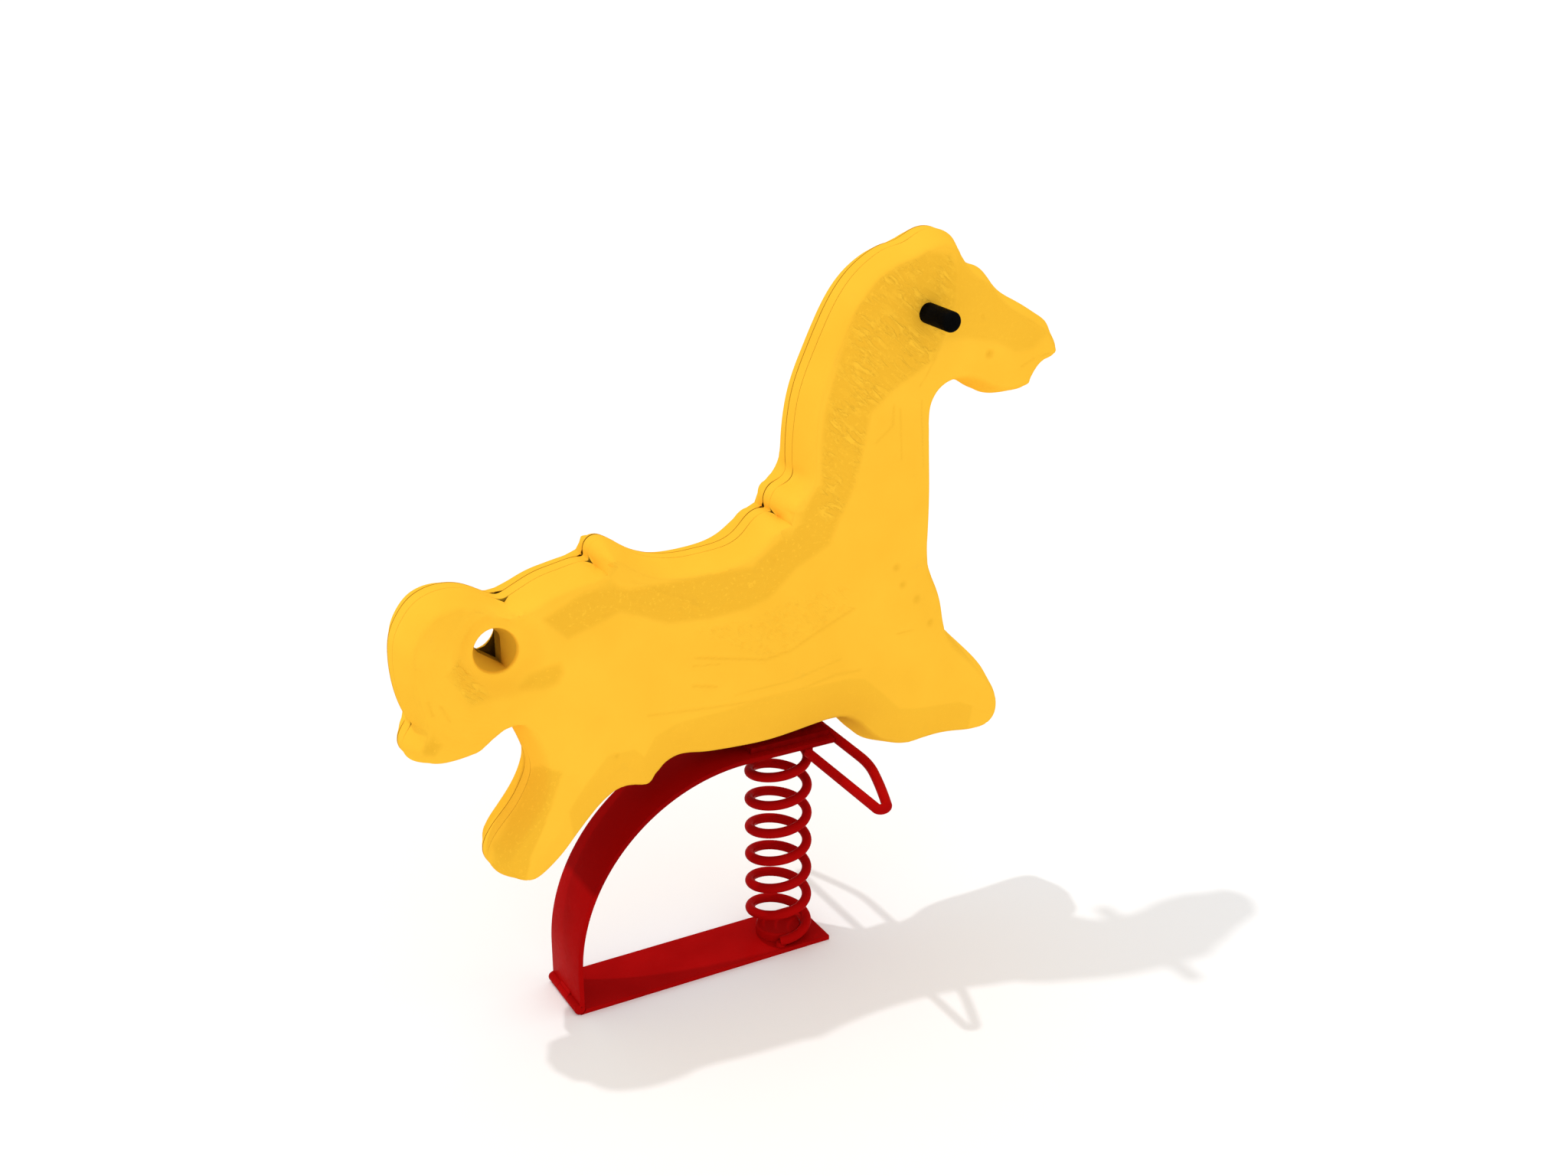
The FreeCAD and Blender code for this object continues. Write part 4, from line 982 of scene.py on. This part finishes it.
def yellow_finish():
    """Yellow powder coat with painted shade; the meshes say where the painted shade goes and where
    the mane's strokes are.
    """
    n = Nodes("yellow_gloss")
    painted_shade = n.add("ShaderNodeAttribute", attribute_name="painted_shade").outputs["Fac"]
    on_mane = n.add("ShaderNodeAttribute", attribute_name="strokes").outputs["Fac"]
    stroke = n.span(n.streaks(scale=190.0, turn=42.0, length=4.0), 0.0, 1.0, of=(0.46, 0.62))
    stroke = n.times(stroke, on_mane)
    # Lighter specks break up the painted shade.
    specks = n.span(n.noise(scale=240.0, detail=4.0, roughness=0.6), 0.0, 0.8, of=(0.59, 0.64))
    specks = n.times(specks, n.span(painted_shade, 0.0, 1.0, of=(0.2, 0.8)))
    grime = n.span(n.noise(scale=34.0, detail=6.0, roughness=0.65), 0.0, 0.10, of=(0.62, 0.80))
    colour = n.cloudy(n.noise(scale=9.0, detail=3.0), *YELLOW_PAINT)
    # Painted shade: recesses, creases, dents and down-turned facets darken towards this yellow.
    colour = n.mix(n.span(painted_shade, 0.0, 1.0), colour, PAINTED_SHADE_YELLOW)
    colour = n.mix(stroke, colour, WORN_YELLOW)
    colour = n.mix(specks, colour, WORN_YELLOW)
    # Painted shade on the tail eye's wall.
    colour = n.mix(n.span(painted_shade, 0.0, 1.0, of=(1.0, EYE_SHADE)), colour, PAINTED_EYE_SHADE_YELLOW)
    # Near-black painted shade in the band's grooves, the far eye wall and the shells' insides.
    colour = n.mix(n.span(painted_shade, 0.0, 1.0, of=(1.5, INSIDE_SHADE)), colour, PAINTED_DEEP_SHADE)
    colour = n.mix(grime, colour, GRIME)
    rough = n.span(n.noise(scale=55.0, detail=8.0, roughness=0.7), 0.22, 0.36)
    normal = n.bump(n.noise(scale=420.0, detail=1.0), distance=0.00012, strength=0.35)
    normal = n.bump(n.noise(scale=60.0, detail=4.0), distance=0.0004, strength=0.4, after=normal)
    normal = n.bump(stroke, distance=0.0010, strength=0.9, after=normal)
    return n.finish(Base_Color=colour, Roughness=rough, Normal=normal, Specular_IOR_Level=0.0)


def shaded_yellow_finish():
    """The same coat inside the tail's eye, darkened as painted shade."""
    n = Nodes("yellow_in_shade")
    colour = n.cloudy(n.noise(scale=70.0, detail=5.0), *SHADED_EYE_RING_YELLOW)
    rough = n.span(n.noise(scale=90.0, detail=5.0), 0.45, 0.65)
    grain = n.bump(n.noise(scale=300.0, detail=3.0), distance=0.0002, strength=0.5)
    return n.finish(Base_Color=colour, Roughness=rough, Normal=grain, Specular_IOR_Level=0.0)


def red_finish(name, shaded_from=None):
    """Red powder coat; above the given height it's darker, a painted reflection of the body's
    underside.
    """
    n = Nodes(name)
    colour = n.cloudy(n.noise(scale=14.0, detail=3.0), *RED_PAINT)
    chips = n.span(n.noise(scale=90.0, detail=6.0, roughness=0.7), 0.0, 0.25, of=(0.70, 0.76))
    colour = n.mix(chips, colour, CHIPPED_RED)
    # Painted reflection of the body's dark underside, higher up the arm.
    if shaded_from:
        shaded = n.span(n.height(), 0.0, 1.0, of=(shaded_from, shaded_from + ARM_SHADE_BLEND))
        colour = n.mix(shaded, colour, PAINTED_REFLECTION_RED)
    rough = n.span(n.noise(scale=40.0, detail=6.0, roughness=0.6), 0.20, 0.34)
    edge = n.add("ShaderNodeBevel")
    edge.inputs["Radius"].default_value = PAINT_EDGE_RADIUS
    peel = n.bump(n.noise(scale=520.0, detail=1.0), distance=0.0001, strength=0.4,
                  after=edge.outputs["Normal"])
    return n.finish(Base_Color=colour, Roughness=rough, Normal=peel, Specular_IOR_Level=0.003)


def rubber_finish():
    n = Nodes("black_rubber")
    colour = n.cloudy(n.noise(scale=60.0, detail=4.0), *BLACK)
    rough = n.span(n.noise(scale=150.0, detail=5.0), 0.45, 0.65)
    grain = n.bump(n.noise(scale=900.0, detail=2.0), distance=0.00015, strength=0.5)
    return n.finish(Base_Color=colour, Roughness=rough, Normal=grain, Specular_IOR_Level=0.01)


def zinc_finish():
    n = Nodes("zinc_steel")
    colour = n.cloudy(n.noise(scale=220.0, detail=4.0, roughness=0.6), *ZINC_GREY)
    rough = n.span(n.noise(scale=300.0, detail=4.0), 0.28, 0.46)
    brushed = n.noise(scale=700.0, detail=2.0, stretch=(1.0, 8.0, 1.0))
    grain = n.bump(brushed, distance=0.00005, strength=0.5)
    return n.finish(Base_Color=colour, Roughness=rough, Normal=grain, Metallic=1.0)


def foot_finish():
    n = Nodes("cast_foot_metal")
    colour = n.cloudy(n.noise(scale=90.0, detail=5.0, roughness=0.6), *FOOT_RED)
    rough = n.span(n.noise(scale=160.0, detail=5.0), 0.38, 0.55)
    grain = n.bump(n.noise(scale=420.0, detail=3.0), distance=0.0002, strength=0.5)
    return n.finish(Base_Color=colour, Roughness=rough, Normal=grain, Specular_IOR_Level=0.0)


YELLOW = yellow_finish()
SHADED_YELLOW = shaded_yellow_finish()
RED = red_finish("red_powder_coat")
ARM_RED_PAINTED_REFLECTION = red_finish("red_powder_coat_arm_painted_reflection", ARM_SHADE_FROM)
RUBBER = rubber_finish()
ZINC = zinc_finish()
FOOT = foot_finish()

CAD_FINISH = {
    RED: ("base_plate", "base_knuckles", "knuckle_welds", "hinge_pin", "pin_cap", "arm_knuckle",
          "arm_knuckle_weld", "spring_arm", "coil_spring", "lower_spring_weld",
          "upper_spring_weld", "lower_spring_seat", "upper_spring_seat", "footrest_rod",
          "footrest_front_weld", "footrest_rear_welds"),
    FOOT: ("mounting_foot",),
    YELLOW: ("centre_band", "left_shell", "right_shell"),
    SHADED_YELLOW: ("tail_eye_ring",),
    ZINC: ("lower_seat_screw", "upper_seat_screw", "foot_screws", "body_bolts", "bolt_washers",
           "handle_bar", "handle_set_screws"),
    RUBBER: ("left_grip", "right_grip"),
}


def finish_cad_nodes():
    """Gives each CAD node its finish, without a change to its mesh."""
    for material, names in CAD_FINISH.items():
        for name in names:
            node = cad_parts[name]
            if not node.data.materials:
                node.data.materials.append(material)
            for slot in node.material_slots:
                slot.link = "OBJECT"
                slot.material = material


# ---- the pieces ----
def stand_in(node):
    """Hides a CAD node, so that the detailed piece made in its place shows instead."""
    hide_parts(node)


def build_pieces():
    """The detailed pieces; all of them ride on the horse, except the coil."""
    sheets = shell_sheets()
    right_shell = make_shell("horse_right_shell", -1, EYE_SHADE, sheets, YELLOW)
    left_shell = make_shell("horse_left_shell", 1, FAR_EYE_SHADE, sheets, YELLOW)
    band = make_centre_band(YELLOW)
    arm = make_spring_arm(ARM_RED_PAINTED_REFLECTION)
    coil, foot, top = make_coil(RED)
    right_grip = make_grip("handle_grip_right", "right_grip", -1, RUBBER)
    left_grip = make_grip("handle_grip_left", "left_grip", 1, RUBBER)
    riding = (
        (right_shell, "yellow_cast_body", "right_shell"),
        (left_shell, "yellow_cast_body", "left_shell"),
        (band, "yellow_cast_body", "centre_band"),
        (arm, "red_powder_coat", "spring_arm"),
        (right_grip, "black_rubber", "right_grip"),
        (left_grip, "black_rubber", "left_grip"),
    )
    for piece, slot, node in riding:
        stand_in(node)
        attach(piece, "rider")
    stand_in("coil_spring")
    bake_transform(coil)


# ---- floor, light and camera ----
FLOOR_REACH = 80.0             # m, from the middle to each edge
FLOOR_ROUGHNESS = 0.9


def make_floor():
    n = Nodes("studio_floor")
    shade = n.cloudy(n.noise(scale=0.6), *FLOOR_WHITE, of=(0.0, 1.0))
    material = n.finish(Base_Color=shade, Roughness=FLOOR_ROUGHNESS)
    corners = [(x * FLOOR_REACH, y * FLOOR_REACH, 0) for x, y in ((-1, -1), (1, -1), (1, 1), (-1, 1))]
    mesh = bpy.data.meshes.new("floor")
    mesh.from_pydata(corners, [], [(0, 1, 2, 3)])
    mesh.materials.append(material)
    floor = bpy.data.objects.new("floor", mesh)
    bpy.context.scene.collection.objects.link(floor)


SUN_TRAVEL = (0.285, -0.305, -1.0)     # the way the light goes
SUN_STRENGTH = 0.80
SUN_ANGLE = 1.5               # degrees across
FILL_TRAVEL = (0.25, 1.0, -0.35)       # a broad soft light from the camera's side
FILL_STRENGTH = 0.38
FILL_ANGLE = 70.0
SKY_COLOUR = (1.0, 1.0, 1.0, 1.0)
SKY_STRENGTH = 0.855


def make_lamp(name, travel, strength, angle):
    light = bpy.data.lights.new(name, "SUN")
    light.energy = strength
    light.angle = math.radians(angle)
    lamp = bpy.data.objects.new(name, light)
    lamp.rotation_euler = Vector(travel).to_track_quat("-Z", "Y").to_euler()
    bpy.context.scene.collection.objects.link(lamp)


def make_light():
    world = bpy.data.worlds.new("studio")
    world.use_nodes = True
    background = world.node_tree.nodes["Background"]
    background.inputs["Color"].default_value = SKY_COLOUR
    background.inputs["Strength"].default_value = SKY_STRENGTH
    bpy.context.scene.world = world
    make_lamp("key", SUN_TRAVEL, SUN_STRENGTH, SUN_ANGLE)
    make_lamp("fill", FILL_TRAVEL, FILL_STRENGTH, FILL_ANGLE)


CAMERA_PLACE = (-0.9096, -1.9033, 1.3821)
CAMERA_YAW = 28.83            # degrees from +Y towards +X
CAMERA_PITCH = 22.16          # degrees below the horizon
CAMERA_LENS = 43.456          # mm, in front of a sensor this wide
CAMERA_SENSOR = 36.0
CAMERA_REACH = 300.0          # m, past the floor's far corners


def make_camera():
    camera = bpy.data.cameras.new("camera")
    camera.lens = CAMERA_LENS
    camera.sensor_width = CAMERA_SENSOR
    camera.clip_end = CAMERA_REACH
    holder = bpy.data.objects.new("camera", camera)
    holder.location = CAMERA_PLACE
    holder.rotation_euler = (math.radians(90 - CAMERA_PITCH), 0, math.radians(-CAMERA_YAW))
    bpy.context.scene.collection.objects.link(holder)
    bpy.context.scene.camera = holder


finish_cad_nodes()
build_pieces()
make_floor()
make_light()
make_camera()
bpy.context.scene.view_settings.view_transform = "Standard"
